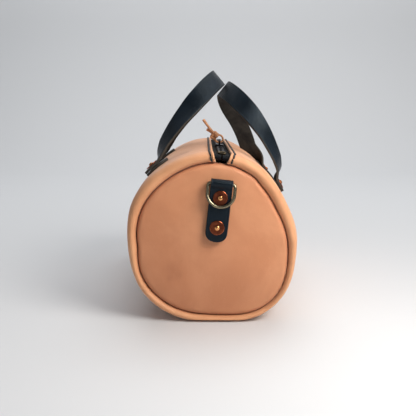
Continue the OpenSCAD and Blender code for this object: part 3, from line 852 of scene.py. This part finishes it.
def handle_ring(side, w):
    """Middle and facing of the strap, w degrees round the arch."""
    rise = RISE[side]
    swing = np.clip(sin(w), 0, 1)
    far = ease((w - 90) / 50) if side == BACK else 0 * w
    v = (RUN + (rise - RUN) * swing ** ARCH_POWER) * (1 - FAR_DROP * far)
    pull = FAR_PULL * far * ease(v / PULL_RISE)
    b0 = ROOT_SLOPE[side]
    b = b0 - BOW[side] * v / rise
    k = np.radians(BOW[side]) / rise
    start = hinge_at(side) - STRAP_T / 2 * np.array([0, side * sin(b0), cos(b0)])
    p = np.stack([HANDLE_X * np.sign(cos(w)) * np.abs(cos(w)) ** ARCH_POWER,
                  start[1] - side * (sin(b0) - sin(b)) / k - pull,
                  start[2] + (cos(b) - cos(b0)) / k], -1)
    flat_n = np.stack([0 * w, side * sin(b), cos(b)], -1)
    return p, flat_n, v


def handle_path(side):
    w = 90 - 90 * np.cos(np.pi * np.linspace(0, 1, 121))
    p, flat_n, v = handle_ring(side, w)
    along = unit(np.gradient(p, axis=0))
    arch = side * unit(np.cross(flat_n, along))
    slow_turn = np.interp(v, TURN_V, TURN_DEG)
    quick_turn = 90 * (1 - (1 - np.clip((v - RUN) / TWIST_L, 0, 1)) ** 2.6)
    near_leg = 1 - ease((w - 84) / 12) if side == BACK else np.ones(len(w))
    twist = near_leg * slow_turn + (1 - near_leg) * quick_turn
    n = unit(cos(twist)[:, None] * flat_n + sin(twist)[:, None] * arch)
    bulge = np.interp(v, TURN_V, BULGE[side]) * near_leg
    root_n = np.array([0, side * sin(ROOT_SLOPE[side]), cos(ROOT_SLOPE[side])])
    p = p + bulge[:, None] * root_n
    low = np.linspace(-ROOT_LOW, HINGE_UP - 0.6, 26)
    legs = []
    for x in (HANDLE_X, -HANDLE_X):
        a = LEAN + side * (HANDLE_A - arc_deg(low, BAG_R))
        lie = off_wall(np.full_like(a, x), a, STRAP_LOW + STRAP_T / 2)
        lifted = np.clip((low - LIFT_FROM) / (HINGE_UP - LIFT_FROM), 0, 1) ** 1.5
        root_bulge = BULGE[side][0] * (1 if x > 0 or side == FRONT else 0)
        lie = lie + (lifted * root_bulge)[:, None] * root_n
        face = np.stack([0 * a, sin(wall_n(a)), cos(wall_n(a))], -1)
        legs.append((lie, face))
    return (np.concatenate([legs[0][0], p, legs[1][0][::-1]]),
            np.concatenate([legs[0][1], n, legs[1][1][::-1]]))


def resample(path, facing, step):
    gone = np.concatenate([[0], np.cumsum(np.linalg.norm(np.diff(path, axis=0), axis=1))])
    count = int(gone[-1] / step)
    at = np.linspace(0, gone[-1], count)
    path = np.stack([np.interp(at, gone, path[:, i]) for i in range(3)], -1)
    facing = unit(np.stack([np.interp(at, gone, facing[:, i]) for i in range(3)], -1))
    return path, facing, at, gone[-1]


def eased(values, times):
    for _ in range(times):
        middle = values.copy()
        middle[1:-1] = (values[:-2] + 2 * values[1:-1] + values[2:]) / 4
        values = middle
    return values


def round_ends(at, total, width, corner):
    e = np.minimum(at, total - at)
    inset = np.where(e < corner, corner - np.sqrt(np.maximum(0, corner ** 2 - (corner - e) ** 2)), 0)
    return width - 2 * inset


def handle(side):
    path, facing, at, total = resample(*handle_path(side), STEP)
    hinge = HINGE_UP + ROOT_LOW
    near = np.exp(-(((at - hinge) / 4.5) ** 4)) + np.exp(-(((total - at - hinge) / 4.5) ** 4))
    soft_path, soft_face = eased(path, 14), unit(eased(facing, 30))
    path = path + (soft_path - path) * near[:, None]
    facing = unit(facing + (soft_face - facing) * np.clip(near + 0.2, 0, 1)[:, None])
    width = round_ends(at, total, STRAP_W, STRAP_W * CORNER)
    width[0] = width[-1] = STRAP_W * CORNER
    word = FACE_WORD[side]
    piece = strap_piece("handle_leather_" + word, path, facing, width, STRAP_T)
    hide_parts("handle_strap_" + word, "handle_ends_" + word)
    h = hinge_at(side)
    wall = wall_n(LEAN + side * (HANDLE_A - HINGE_ARC))
    up = np.array([0, -side * abs(cos(wall)), abs(sin(wall))])
    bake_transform(piece)
    return total


lengths = [handle(side) for side in (FRONT, BACK)]
print("strap lengths, mm:", [round(float(v)) for v in lengths])

# %% [markdown]
# ## Patches under the strap ends
#
# A patch of the same leather spreads the pull of each strap. It shows as a dark border round the
# strap's end, with its own cut edge.

# %% Patches
PATCH_LOW, PATCH_HIGH = 9.5, 15.0


def patch(side, x):
    length, patch_w = PATCH_LOW + PATCH_HIGH, STRAP_W + 1
    s = length * (0.5 - 0.5 * np.cos(np.pi * np.linspace(0, 1, 44)))
    a = LEAN + side * (HANDLE_A - arc_deg(s - PATCH_LOW, BAG_R))
    path = off_wall(np.full_like(a, x), a, LAYER_GAP + PATCH_T / 2)
    facing = np.stack([0 * a, sin(wall_n(a)), cos(wall_n(a))], -1)
    width = round_ends(s, length, patch_w, CORNER * patch_w)
    return strap_piece("patch_part", path, facing, width, PATCH_T)


def merged(name, pieces):
    bpy.ops.object.select_all(action="DESELECT")
    for piece in pieces:
        piece.select_set(True)
    bpy.context.view_layer.objects.active = pieces[0]
    bpy.ops.object.join()
    pieces[0].name = name
    pieces[0].data.name = name
    return pieces[0]


for side, word in FACE_WORD.items():
    both = merged("strap_patches_" + word, [patch(side, x) for x in (-HANDLE_X, HANDLE_X)])
    place(both, "bag", "black_leather", "handle_patches_" + word)
print("patches made")

# %% [markdown]
# ## Rivets
#
# A copper rivet is pushed through the layers, a washer called a burr goes over it, and the post
# is hammered into a small dome. The washer has a turned edge and a slight dish, and the dome has
# the flats of a few hammer blows. A lathed outline gives the first, and pushing points off a few
# tilted planes gives the second.

# %% Rivets
BURR_T, RIVETS_EACH = 1.0, 2


def lathe(outline, sides=48, capped=True):
    """Turns an outline of (radius, height) pairs about Z. An open one joins its last ring to its first."""
    turns = np.linspace(0, 2 * np.pi, sides, endpoint=False)
    grid = np.array([[(r * np.cos(t), r * np.sin(t), h) for t in turns] for r, h in outline])
    faces = backward(grid_faces(len(outline), sides, wrap=True))
    if capped:
        return grid.reshape(-1, 3), faces + end_caps(len(outline), sides)
    last = (len(outline) - 1) * sides
    around = [(j, (j + 1) % sides) for j in range(sides)]
    return grid.reshape(-1, 3), faces + [[last + j, last + k, k, j] for j, k in around]


BURR_OUT = [(2.0, 0.0), (6.05, 0.0), (6.3, 0.12), (6.35, 0.35), (6.33, 0.6), (6.2, 0.8), (5.9, 0.95),
            (5.4, 1.0), (4.4, 0.93), (3.2, 0.86), (2.6, 0.9), (2.1, 1.0), (2.0, 0.95)]


DOME_OUT = [(2.1, 0.04), (2.28, 0.2), (2.3, 0.5), (2.15, 0.9), (1.8, 1.3), (1.3, 1.62), (0.7, 1.8),
            (0.02, 1.85)]
HAMMER_BLOWS = 6


def burr_points(foot):
    points, faces = lathe(BURR_OUT, capped=False)
    edge = np.clip((np.hypot(points[:, 0], points[:, 1]) - 5.2) / 1.0, 0, 1)
    return points + [0, 0, foot], faces, edge


def dome_points(top, seed):
    points, faces = lathe(DOME_OUT, 40)
    rng = np.random.RandomState(seed)
    for _ in range(HAMMER_BLOWS):
        t, tilt = rng.uniform(0, 2 * np.pi), rng.uniform(0.25, 0.75)
        way = np.array([np.sin(tilt) * np.cos(t), np.sin(tilt) * np.sin(t), np.cos(tilt)])
        over = points @ way - rng.uniform(1.72, 1.86)
        points = points - np.clip(over, 0, None)[:, None] * way
    edge = np.clip(points[:, 2] / 1.5, 0, 1)
    return points + [0, 0, top], faces, edge


def shank_points(low, high):
    head = [(0.02, low - 1.0), (5.2, low - 1.0), (5.5, low - 0.75), (5.4, low - 0.25), (4.6, low), (1.9, low)]
    outline = head + [(1.9, high), (0.02, high)]
    points, faces = lathe(outline[::-1], 32)
    return points, faces, np.zeros(len(points))


def turned_place(points, place_matrix):
    m = np.array(place_matrix)
    return points @ m[:3, :3].T + m[:3, 3]


def rivet_places_wall(side):
    out = []
    a = LEAN + side * HANDLE_A
    for x in (-HANDLE_X, HANDLE_X):
        p = off_wall(x, a, 0)
        turn = Matrix.Rotation(math.radians(-float(wall_n(np.float64(a)))), 4, "X")
        out.append(Matrix.Translation(Vector(p)) @ turn)
    return out


LOW_RIVET, RIVET_GAP, TAB_T, TAB_Y = 10.9, 25.9, 2.4, 2.3
TAB_X = float(panel_x(0.0)) + 0.1


def tab_matrix(side):
    mirror = Matrix.Scale(-1 if side == LEFT else 1, 4, Vector((1, 0, 0)))
    return mirror @ Matrix.Translation((0, TAB_Y, BAG_Z)) @ Matrix.Rotation(math.radians(-LEAN), 4, "X")


def rivet_places_tab(side):
    turn = Matrix.Rotation(math.radians(90), 4, "Y")
    heights = (LOW_RIVET, LOW_RIVET + RIVET_GAP)
    return [tab_matrix(side) @ Matrix.Translation((TAB_X, 0, z)) @ turn for z in heights]


def rivet_set(word, places, head, foot, burr_node, rivet_node, mirrored=False):
    burrs, rivets = [], []
    for i, m in enumerate(places):
        burrs.append((m, burr_points(foot)))
        rivets.append((m, dome_points(foot + BURR_T - 0.06, 7 * i + len(word))))
        rivets.append((m, shank_points(head, foot + BURR_T)))
    for name, made, material, node in (("burrs_", burrs, copper, burr_node),
                                       ("rivets_", rivets, dome_copper, rivet_node)):
        points, faces = join_parts([(turned_place(p, m), f) for m, (p, f, _) in made])
        edge = np.concatenate([e for _, (_, _, e) in made])
        faces = backward(faces) if mirrored else faces
        piece = new_piece(name + word, points, faces, [material], None, {"edge": edge})
        place(piece, "bag", "copper", node)


BURR_FOOT = STRAP_LOW + STRAP_T + 0.02
HEAD_SINK = LEATHER + 0.1 + 11 * 11 / 8 / (BAG_R - LEATHER - 3)
for side, word in FACE_WORD.items():
    rivet_set("strap_" + word, rivet_places_wall(side), -HEAD_SINK, BURR_FOOT,
              "handle_burrs_" + word, "handle_rivets_" + word)
for side, word in END_WORD.items():
    rivet_set("tab_" + word, rivet_places_tab(side), -(LEATHER + 0.8), 2 * TAB_T + 0.02,
              "tab_burrs_" + word, "tab_rivets_" + word, mirrored=side == LEFT)
print("rivets:", RIVETS_EACH * (len(FACE_WORD) + len(END_WORD)))

# %% [markdown]
# ## Tabs and D-rings
#
# A tab is one strip of black leather, folded over the ring's straight bar so that two layers lie
# on each other, with rounded corners at its lower end. I sweep it as one folded strip: the line
# between the layers then shows along both edges, as it should. The ring is bent wire, straight
# along its bar, with small bends at the corners.

# %% Tabs
TAB_W, WIRE_D, RING_H, TAB_CORNER = 18.9, 2.9, 22.8, 0.42
BAR_HOLE = WIRE_D / 2 + 0.05
BAR_X = TAB_X + TAB_T + BAR_HOLE
TAB_LOW = LOW_RIVET - BURR_D / 2 - 6.4
TAPER_Z = LOW_RIVET + RIVET_GAP + BURR_D / 2 + 0.2
BAR_Z = TAPER_Z + 5.6
RING_IN = TAB_W + 1.4
RING_R = (RING_IN + WIRE_D) / 2
SIDE_L = RING_H - WIRE_D - RING_R
RING_TILT = math.asin((TAB_T + WIRE_D / 2 + 0.15 - BAR_HOLE) / (SIDE_L + 0.42 * RING_R))


def tab(side):
    m = TAB_T / 2
    thin = TAB_T - 0.12
    turns = np.linspace(180, 0, 22)
    up = [(TAB_X + m, z) for z in np.linspace(TAB_LOW, BAR_Z - 0.4, 60)]
    over = [(BAR_X + (BAR_HOLE + m) * cos(t), BAR_Z + (BAR_HOLE + m) * sin(t)) for t in turns]
    z = np.linspace(BAR_Z, TAPER_Z, 8)[1:]
    x0, x1 = BAR_X + BAR_HOLE + m, TAB_X + TAB_T + m
    down = [(x0 + (x1 - x0) * ease((BAR_Z - h) / (BAR_Z - TAPER_Z)), h) for h in z]
    down += [(x1, h) for h in np.linspace(TAPER_Z, TAB_LOW, 56)[1:]]
    line = np.array(up + over + down)
    line[-30:, 0] += 0.25 * np.linspace(0, 1, 30) ** 3
    path = np.stack([line[:, 0], 0 * line[:, 0], line[:, 1]], -1)
    d = unit(np.gradient(path, axis=0))
    facing = np.stack([-d[:, 2], 0 * d[:, 0], d[:, 0]], -1)
    gone = np.concatenate([[0], np.cumsum(np.linalg.norm(np.diff(path, axis=0), axis=1))])
    width = round_ends(gone, gone[-1], TAB_W, TAB_CORNER * TAB_W)
    width[0] = width[-1] = TAB_W * 0.2
    matrix = tab_matrix(side)
    points = turned_place(path, matrix)
    turn = np.array(matrix)[:3, :3]
    piece = strap_piece("ring_tab_" + END_WORD[side], points, facing @ turn.T, width, thin, crease=0.22)
    return place(piece, "bag", "black_leather", "tab_strap_" + END_WORD[side])


def d_ring(side):
    r, bend = RING_R, 2.4
    path = [(0.0, y) for y in np.linspace(-r + bend, r - bend, 12)]
    path += [(-bend + bend * cos(t), r - bend + bend * sin(t)) for t in np.linspace(0, 90, 7)[1:]]
    path += [(v, r) for v in np.linspace(-bend, -SIDE_L, 6)[1:]]
    path += [(-SIDE_L - r * sin(t), r * cos(t)) for t in np.linspace(0, 180, 49)[1:]]
    path += [(v, -r) for v in np.linspace(-SIDE_L, -bend, 6)[1:]]
    path += [(-bend + bend * cos(t), -r + bend - bend * sin(t)) for t in np.linspace(90, 0, 7)[1:-1]]
    line = np.array([(0.0, y, z) for z, y in path])
    points, faces = tube(line, WIRE_D / 2, sides=18, normal=(1, 0, 0), closed=True)
    tilt = Matrix.Rotation(-RING_TILT, 4, "Y")
    matrix = tab_matrix(side) @ Matrix.Translation((BAR_X, 0, BAR_Z)) @ tilt
    edge = np.clip(points[:, 0] / (WIRE_D / 2), 0, 1) * 0.9
    points, word = turned_place(points, matrix), END_WORD[side]
    faces = backward(faces) if side == LEFT else faces
    piece = new_piece("ring_wire_" + word, points, faces, [old_brass], None, {"edge": edge})
    return place(piece, "d_ring_" + word, "antique_brass", "d_ring_" + word)


for side in (RIGHT, LEFT):
    tab(side)
    d_ring(side)
print("D-ring tilt, degrees:", round(math.degrees(RING_TILT), 2))

# %% [markdown]
# ## The zip
#
# The zip is two black tapes under the leather's cut edges, a row of teeth on each, a plate where
# it starts, crimps where it ends, and a slider with a bridge for its pull. The tapes follow the
# lips down to the seams. Everything else sits in the zip's own upright frame, tilted by the lean.

# %% Tapes
TAPE_W, TAPE_T, SLOT = 14.6, 0.8, 0.5
TAPE_TOP = LEATHER + LAYER_GAP


def tape(side):
    layers = []
    shares = np.linspace(0, 1, 15)
    for off in (TAPE_TOP, TAPE_TOP + TAPE_T):
        rows = []
        for station in stations:
            deep = lip_r(LEAN) * (1 - cos(station[1]))
            a = LEAN + side * arc_deg(SLOT + (TAPE_W - SLOT) * shares, BAG_R - deep)
            x, depth = on_station(station, a, off)
            rows.append(at_wall(x, a, depth))
        layers.append(np.array(rows))
    ring = np.concatenate([layers[0], layers[1][:, ::-1]], axis=1)
    rows, n = ring.shape[:2]
    faces = grid_faces(rows, n, wrap=True) + end_caps(rows, n)
    faces = backward(faces) if side == FRONT else faces
    piece = new_piece("zip_cloth_" + FACE_WORD[side], ring.reshape(-1, 3), faces, [tape_cloth])
    return place(piece, "bag", "black_tape", "zip_tape_" + FACE_WORD[side])


for side in (FRONT, BACK):
    tape(side)

# %% [markdown]
# A tooth is a small pressed block: a wide foot crimped on the tape's edge, narrowing to a head
# that hooks between its neighbours. One tooth is made with rounded edges and copied along.

# %% Teeth
ZIP_R = float(wall_r(np.float64(LEAN)))
TOOTH_FOOT = ZIP_R - TAPE_TOP + 0.02
TOOTH_PITCH, TOOTH_W, TOOTH_H, STOP_L = 3.0, 2.7, 1.3, 4.5
TEETH_X = FLAT_X - 1 - STOP_L
TOOTH_COUNT = int(2 * TEETH_X / TOOTH_PITCH)
ZIP_TURN = Matrix.Translation((0, 0, BAG_Z)) @ Matrix.Rotation(math.radians(-LEAN), 4, "X")


def box_plan(long, wide):
    x, y = long / 2, wide / 2
    return [(-x, -y), (x, -y), (x, y), (-x, y)]


def rounded_block(plan, height, bevel, segments=2):
    """Points and faces of a block that stands on z = 0 over its plan, with rounded edges."""
    bm = bmesh.new()
    n = len(plan)
    low, high = [[bm.verts.new((x, y, z)) for x, y in plan] for z in (0, height)]
    bm.faces.new(low[::-1])
    bm.faces.new(high)
    for i in range(n):
        k = (i + 1) % n
        bm.faces.new([low[i], low[k], high[k], high[i]])
    bmesh.ops.bevel(bm, geom=bm.edges[:], offset=bevel, segments=segments, profile=0.5, affect="EDGES")
    bm.verts.ensure_lookup_table()
    points = np.array([v.co for v in bm.verts])
    faces = [[v.index for v in f.verts] for f in bm.faces]
    bm.free()
    return points, faces


TOOTH_REACH = 2.72
TOOTH_SIDE = [(0.95, 0.0), (0.98, 1.3), (0.55, 1.75), (0.58, 2.2), (0.7, 2.5), (0.4, TOOTH_REACH)]
TOOTH_PLAN = [(-0.95, 0.0)] + TOOTH_SIDE + [(-x, y) for x, y in TOOTH_SIDE[:0:-1]]


def teeth(side):
    shift = 0 if side == FRONT else TOOTH_PITCH / 2
    first = -TOOTH_PITCH * TOOTH_COUNT / 2 + TOOTH_PITCH / 4
    one, faces = rounded_block(TOOTH_PLAN, TOOTH_H, 0.2)
    one[:, 2] += 0.12 * np.cos(one[:, 0] * 2)
    one[:, 1] = one[:, 1] - TOOTH_REACH - SLOT + 0.06
    if side == BACK:
        one = one * [-1, -1, 1]
    along = [first + i * TOOTH_PITCH + shift for i in range(TOOTH_COUNT)]
    points, faces = join_parts([(turned_place(one + [x, 0, TOOTH_FOOT], ZIP_TURN), faces) for x in along])
    edge = np.tile(np.clip((one[:, 2] - 0.9) / 0.4, 0, 1), TOOTH_COUNT)
    piece = new_piece("zip_row_" + FACE_WORD[side], points, faces, [dark_metal], None, {"edge": edge})
    return place(piece, "bag", "dark_metal", "zip_teeth_" + FACE_WORD[side])


for side in (FRONT, BACK):
    teeth(side)


def zip_block(parts, name, material, body, slot, node):
    points, faces = join_parts([(turned_place(p, ZIP_TURN), f) for p, f in parts])
    edge = np.concatenate([np.clip((p[:, 2] - (p[:, 2].max() - 0.7)) / 0.5, 0, 1) for p, f in parts])
    piece = new_piece(name, points, faces, [material], None, {"edge": edge})
    return place(piece, body, slot, node)


STOP_HALF = SLOT + TOOTH_W + 0.6
RIM_R, STOP_TIP = 0.85, 20
STOP_X = TEETH_X + 0.8 + STOP_L / 2
p, f = rounded_block(box_plan(STOP_L - 1, 2 * STOP_HALF - 1), TOOTH_H + 0.2, 0.3)
parts = [(p + [STOP_X, 0, TOOTH_FOOT], f)]
t = np.linspace(0, 360, 49)[:-1]
squarish = [np.sign(v) * np.abs(v) ** 0.5 for v in (cos(t), sin(t))]
rim_line = np.stack([(STOP_L / 2 - RIM_R) * squarish[0], (STOP_HALF - RIM_R) * squarish[1], 0 * t], -1)
p, f = tube(rim_line, RIM_R, closed=True)
parts.append((p + [STOP_X, 0, TOOTH_FOOT + TOOTH_H + 0.1], f))
middle = Matrix.Translation((STOP_X, 0, TOOTH_FOOT + 0.8))
tip_over = middle @ Matrix.Rotation(math.radians(STOP_TIP), 4, "Y") @ middle.inverted()
parts = [(turned_place(p, tip_over), f) for p, f in parts]
zip_block(parts, "zip_start_plate", zip_brass, "bag", "antique_brass", "zip_end_stop")
parts = []
for side in (FRONT, BACK):
    p, f = rounded_block(box_plan(STOP_L, TOOTH_W), TOOTH_H + 0.4, 0.45, 3)
    parts.append((p + [-STOP_X, side * (SLOT + TOOTH_W / 2), TOOTH_FOOT], f))
zip_block(parts, "zip_end_crimps", zip_brass, "bag", "antique_brass", "zip_top_stops")
print("teeth per row:", TOOTH_COUNT)

# %% [markdown]
# ## Slider and thong
#
# The slider has two plates joined by a wedge, flanges that keep the teeth in, and an arched
# bridge. Instead of a metal pull it has a thong of the bag's own leather, looped through the
# bridge and knotted. The slider and the thong each hang on a body of their own.

# %% Slider
SLIDER_X, SLIDER_L = 15.0, 11.0
PLATE_T, FLANGE_T = 1.3, 0.9
PLATE_HALF = SLOT + TOOTH_W + RUN + FLANGE_T
PLATE_FOOT = TOOTH_FOOT + TOOTH_H + RUN
PLATE_TOP = PLATE_FOOT + PLATE_T
UNDER_TOP = TOOTH_FOOT - 0.02 - TAPE_T - RUN
BRIDGE_Z, BRIDGE_HALF, BRIDGE_R = PLATE_TOP + 4.8, 4.5, 0.72


half, wide = SLIDER_L / 2, PLATE_HALF
right = [(half, wide * 0.86), (half * 0.55, wide), (0, wide * 0.93), (-half * 0.5, wide * 0.9),
         (-half, wide * 0.72)]
slider_plan = [(x, -y) for x, y in right[::-1]] + right
parts = []
for z in (PLATE_FOOT, UNDER_TOP - PLATE_T):
    p, f = rounded_block(slider_plan, PLATE_T, 0.35, 3)
    parts.append((p + [SLIDER_X, 0, z], f))
for side in (FRONT, BACK):
    p, f = rounded_block(box_plan(SLIDER_L * 0.8, FLANGE_T), TOOTH_H + 0.4, 0.25)
    parts.append((p + [SLIDER_X, side * (PLATE_HALF - FLANGE_T / 2 - 0.1), TOOTH_FOOT + RUN], f))
p, f = rounded_block(box_plan(2.5, 2 * SLOT - RUN), PLATE_FOOT - UNDER_TOP + 0.6, 0.1, 1)
parts.append((p + [SLIDER_X + SLIDER_L / 2 - 2.2, 0, UNDER_TOP - 0.3], f))
arch_foot = PLATE_TOP - 0.3
t = np.linspace(0, 180, 25)
arch = np.stack([BRIDGE_HALF * cos(t), 0 * t, arch_foot + (BRIDGE_Z - arch_foot) * sin(t) ** 0.6], -1)
p, f = tube(arch, BRIDGE_R, normal=(0, 1, 0))
parts.append((p * [1, 1.15, 1] + [SLIDER_X, 0, 0], backward(f)))
zip_block(parts, "zip_slider_body", dark_metal, "slider", "dark_metal", "zip_slider")

# %% Thong
THONG_D, TAIL_L = 2.0, 16.0
LOOP_R = 2.9 + THONG_D / 2
LOOP_OFF = LOOP_R - 2.6
KNOT_OFF = LOOP_OFF + LOOP_R + 1.8
KNOT_R, KNOT_H, KNOT_TUBE_R = 1.7, 1.9, 1.75
TAIL_R = 2.3
THONG_TILT, TAIL_TILT = 55, 46
bridge = Matrix.Translation((SLIDER_X, 0, BRIDGE_Z))
lie = bridge @ Matrix.Rotation(math.radians(THONG_TILT), 4, "X")
parts = []
turns = np.linspace(0, 360, 41)[:-1]
ring = [(0.35 * sin(2 * t), LOOP_R * sin(t), LOOP_OFF + LOOP_R * cos(t)) for t in turns]
points, faces = tube(ring, THONG_D / 2, normal=(1, 0, 0), closed=True)
parts.append((turned_place(points, lie), faces))
t = np.linspace(0, 2 * np.pi, 97)[:-1]
knot = np.stack([KNOT_R * (np.sin(t) + 1.2 * np.sin(2 * t)), KNOT_R * (np.cos(t) - 1.2 * np.cos(2 * t)),
                 -KNOT_H * np.sin(3 * t)], -1)
points, faces = tube(knot + [0, 0, KNOT_OFF], KNOT_TUBE_R, closed=True)
parts.append((turned_place(points, lie), faces))
tail_turn = Matrix.Rotation(math.radians(TAIL_TILT - THONG_TILT), 4, "X")
tail_lie = lie @ Matrix.Translation((0, 0, KNOT_OFF)) @ tail_turn
# Each tail is where it starts, its length, its bend and how it leans along the bag.
tails = [((0.8, 0.2), TAIL_L + 4.2, 3.0, 0.6), ((-0.9, -0.5), TAIL_L * 0.62, -7.0, -1.2)]
for (x0, y0), length, bend, lean_x in tails:
    s = np.linspace(0, 1, 26)
    tail = np.stack([x0 + lean_x * 1.3 * s, y0 + 0.3 * bend * s ** 2, s * length], -1)
    points, faces = tube(tail, TAIL_R + 0.12 * np.sin(s * 9), normal=(1, 0, 0), squash=0.6)
    parts.append((turned_place(points, tail_lie), faces))
points, faces = join_parts([(turned_place(p, ZIP_TURN), f) for p, f in parts])
faces = backward(faces)
tip = np.zeros(len(points))
thong = new_piece("pull_lace", points, faces, [natural], None, {"seam": tip, "stain_and_shade": tip})
place(thong, "pull", "natural_leather", "pull_thong")
print("thong reaches:", (np.array(points).max(0)).round(1))

# %% [markdown]
# ## Stitches
#
# Thick black thread runs beside the zip, and natural thread lies deep in each end seam. A stitch
# is a short rounded bar that dips into the leather at both ends, so I bend a small tube down at
# its ends and repeat it along the line.

# %% Stitches
THREAD_D, ZIP_PITCH, STITCH_PROUD, STITCH_DIP = 1.0, 5.0, 0.42, 0.75
ROLL_L = 1.3 * ROLL


def stitch_point(side, u, rise):
    t = np.clip(np.abs(u) - FLAT_X, 0, None) / ROLL_L * LIP_TURN * 0.92
    x = np.sign(u) * (np.minimum(np.abs(u), FLAT_X) + (ROLL + rise) * sin(t))
    deep = lip_r(LEAN) - (lip_r(LEAN) + rise) * cos(t)
    a = LEAN + side * arc_deg(mouth_half(t) + STITCH_IN, BAG_R - deep)
    r = wall_r(a) - deep
    return np.stack([x, r * sin(a), BAG_Z + r * cos(a)], -1)


def zip_stitches(side):
    n = int((FLAT_X + ROLL_L) / ZIP_PITCH)
    rng = np.random.RandomState(3 + side)
    parts = []
    for i in range(-n, n):
        u = (i + np.linspace(0.03, 0.97, 11)) * ZIP_PITCH
        s = np.linspace(-1, 1, 11)
        rise = STITCH_PROUD - STITCH_DIP * np.abs(s) ** 3
        path = np.array([stitch_point(side, np.array(a), b) for a, b in zip(u, rise)])
        path[:, 1] += 0.28 * s + rng.uniform(-0.12, 0.12)
        parts.append(tube(path, THREAD_D * 0.8 * (1 - 0.25 * np.abs(s) ** 4), 10))
    points, faces = join_parts(parts)
    piece = new_piece("zip_thread_" + FACE_WORD[side], points, backward(faces), [black_thread])
    return place(piece, "bag", "black_thread", "zip_stitches_" + FACE_WORD[side])


SEAM_COUNT = 72


def end_stitches(side):
    parts = []
    r = THREAD_D * 0.9 / 2
    s = np.linspace(-1, 1, 9)
    for i in range(SEAM_COUNT):
        a = 360 * (i + 0.33 + 0.33 * s) / SEAM_COUNT
        shown = np.exp(-(turned(a - 124) / 24) ** 4)
        x = SEAM_X - 1.2 + 3.3 * shown - 0.6 * np.abs(s) ** 3
        path = at_wall(x, a, lip_drop(a) + SEAM_GAP + r + 0.3)
        parts.append(tube(path, r * (1 - 0.3 * np.abs(s) ** 4), 8, (1, 0, 0)))
    points, faces = join_parts(parts)
    if side == LEFT:
        points = points * [-1, 1, 1]
    else:
        faces = backward(faces)
    piece = new_piece("seam_thread_" + END_WORD[side], points, faces, [tan_thread])
    return place(piece, "bag", "natural_thread", "end_stitches_" + END_WORD[side])


for side in (FRONT, BACK):
    zip_stitches(side)
for side in (RIGHT, LEFT):
    end_stitches(side)
print("stitches made")

# %% [markdown]
# ## Stage, light and camera
#
# A plain pale floor that curves up behind, one large soft key from the right and above, a small
# lamp near the end panel that lifts its upper edge, a weaker fill from the left, one soft lamp
# over the bag and one that lights the backdrop. The camera is close to the bag's end and a little
# above it. The bag is short, so this close the far end looks clearly smaller.

# %% Stage
floor_mat, tree, shader = finish("floor", Roughness=0.75, Specular_IOR_Level=0.2)
shader.inputs["Base Color"].default_value = rgb(216, 217, 219)
line = [(x, 0.0) for x in np.linspace(3000, -900, 20)]
line += [(-900 - 500 * sin(t), 500 - 500 * cos(t)) for t in np.linspace(0, 90, 14)[1:]]
line += [(-1400.0, 1800.0)]
ys = np.linspace(-3500, 3500, 12)
points = np.array([[(x, y, z) for y in ys] for x, z in line]).reshape(-1, 3)
floor = new_piece("stage_floor", points, grid_faces(len(line), len(ys)), [floor_mat])


def lamp(name, at, size, power, color, aim=(0.05, 0.0, 0.08)):
    data = bpy.data.lights.new(name, "AREA")
    data.shape = "RECTANGLE"
    data.size, data.size_y = size
    data.energy = power
    data.color = color
    obj = bpy.data.objects.new(name, data)
    obj.location = at
    obj.rotation_euler = (Vector(aim) - Vector(at)).to_track_quat("-Z", "Y").to_euler()
    bpy.context.scene.collection.objects.link(obj)
    return obj


lamp("near_key", (0.3, 0.21, 0.3), (0.18, 0.16), 0.92, (1.0, 0.96, 0.9), (0.12, 0.02, 0.11))
lamp("key", (0.75, 1.15, 1.25), (1.0, 0.8), 12.0, (1.0, 0.97, 0.93))
lamp("fill", (1.0, -1.3, 0.9), (1.2, 1.2), 2.0, (0.9, 0.95, 1.0))
lamp("top", (-0.5, 0.1, 1.6), (1.6, 1.2), 13.0, (1.0, 1.0, 1.0))
lamp("backdrop", (-0.7, 0.0, 1.5), (2.4, 0.6), 7.0, (0.97, 0.99, 1.0), (-1.5, 0.0, 0.5))
world = bpy.data.worlds.new("studio")
world.use_nodes = True
world.node_tree.nodes["Background"].inputs["Color"].default_value = (0.72, 0.76, 0.8, 1)
world.node_tree.nodes["Background"].inputs["Strength"].default_value = 0.23
bpy.context.scene.world = world
bpy.context.scene.view_settings.view_transform = "Standard"

# %% Camera
SENSOR, FOCAL, SHIFT_DOWN = 36.0, 45.48, 0.0577
LOOK_DOWN, LOOK_ASIDE = 8.13, 0.257
camera_data = bpy.data.cameras.new("camera")
camera_data.sensor_width = SENSOR
camera_data.lens = FOCAL
camera_data.shift_y = -SHIFT_DOWN
camera = bpy.data.objects.new("camera", camera_data)
camera.location = (0.5623, -0.0062, 0.18785)
camera.rotation_euler = (math.radians(90 - LOOK_DOWN), 0.0, math.radians(90 - LOOK_ASIDE))
bpy.context.scene.collection.objects.link(camera)
bpy.context.scene.camera = camera
print("camera lens, mm:", round(FOCAL, 1))
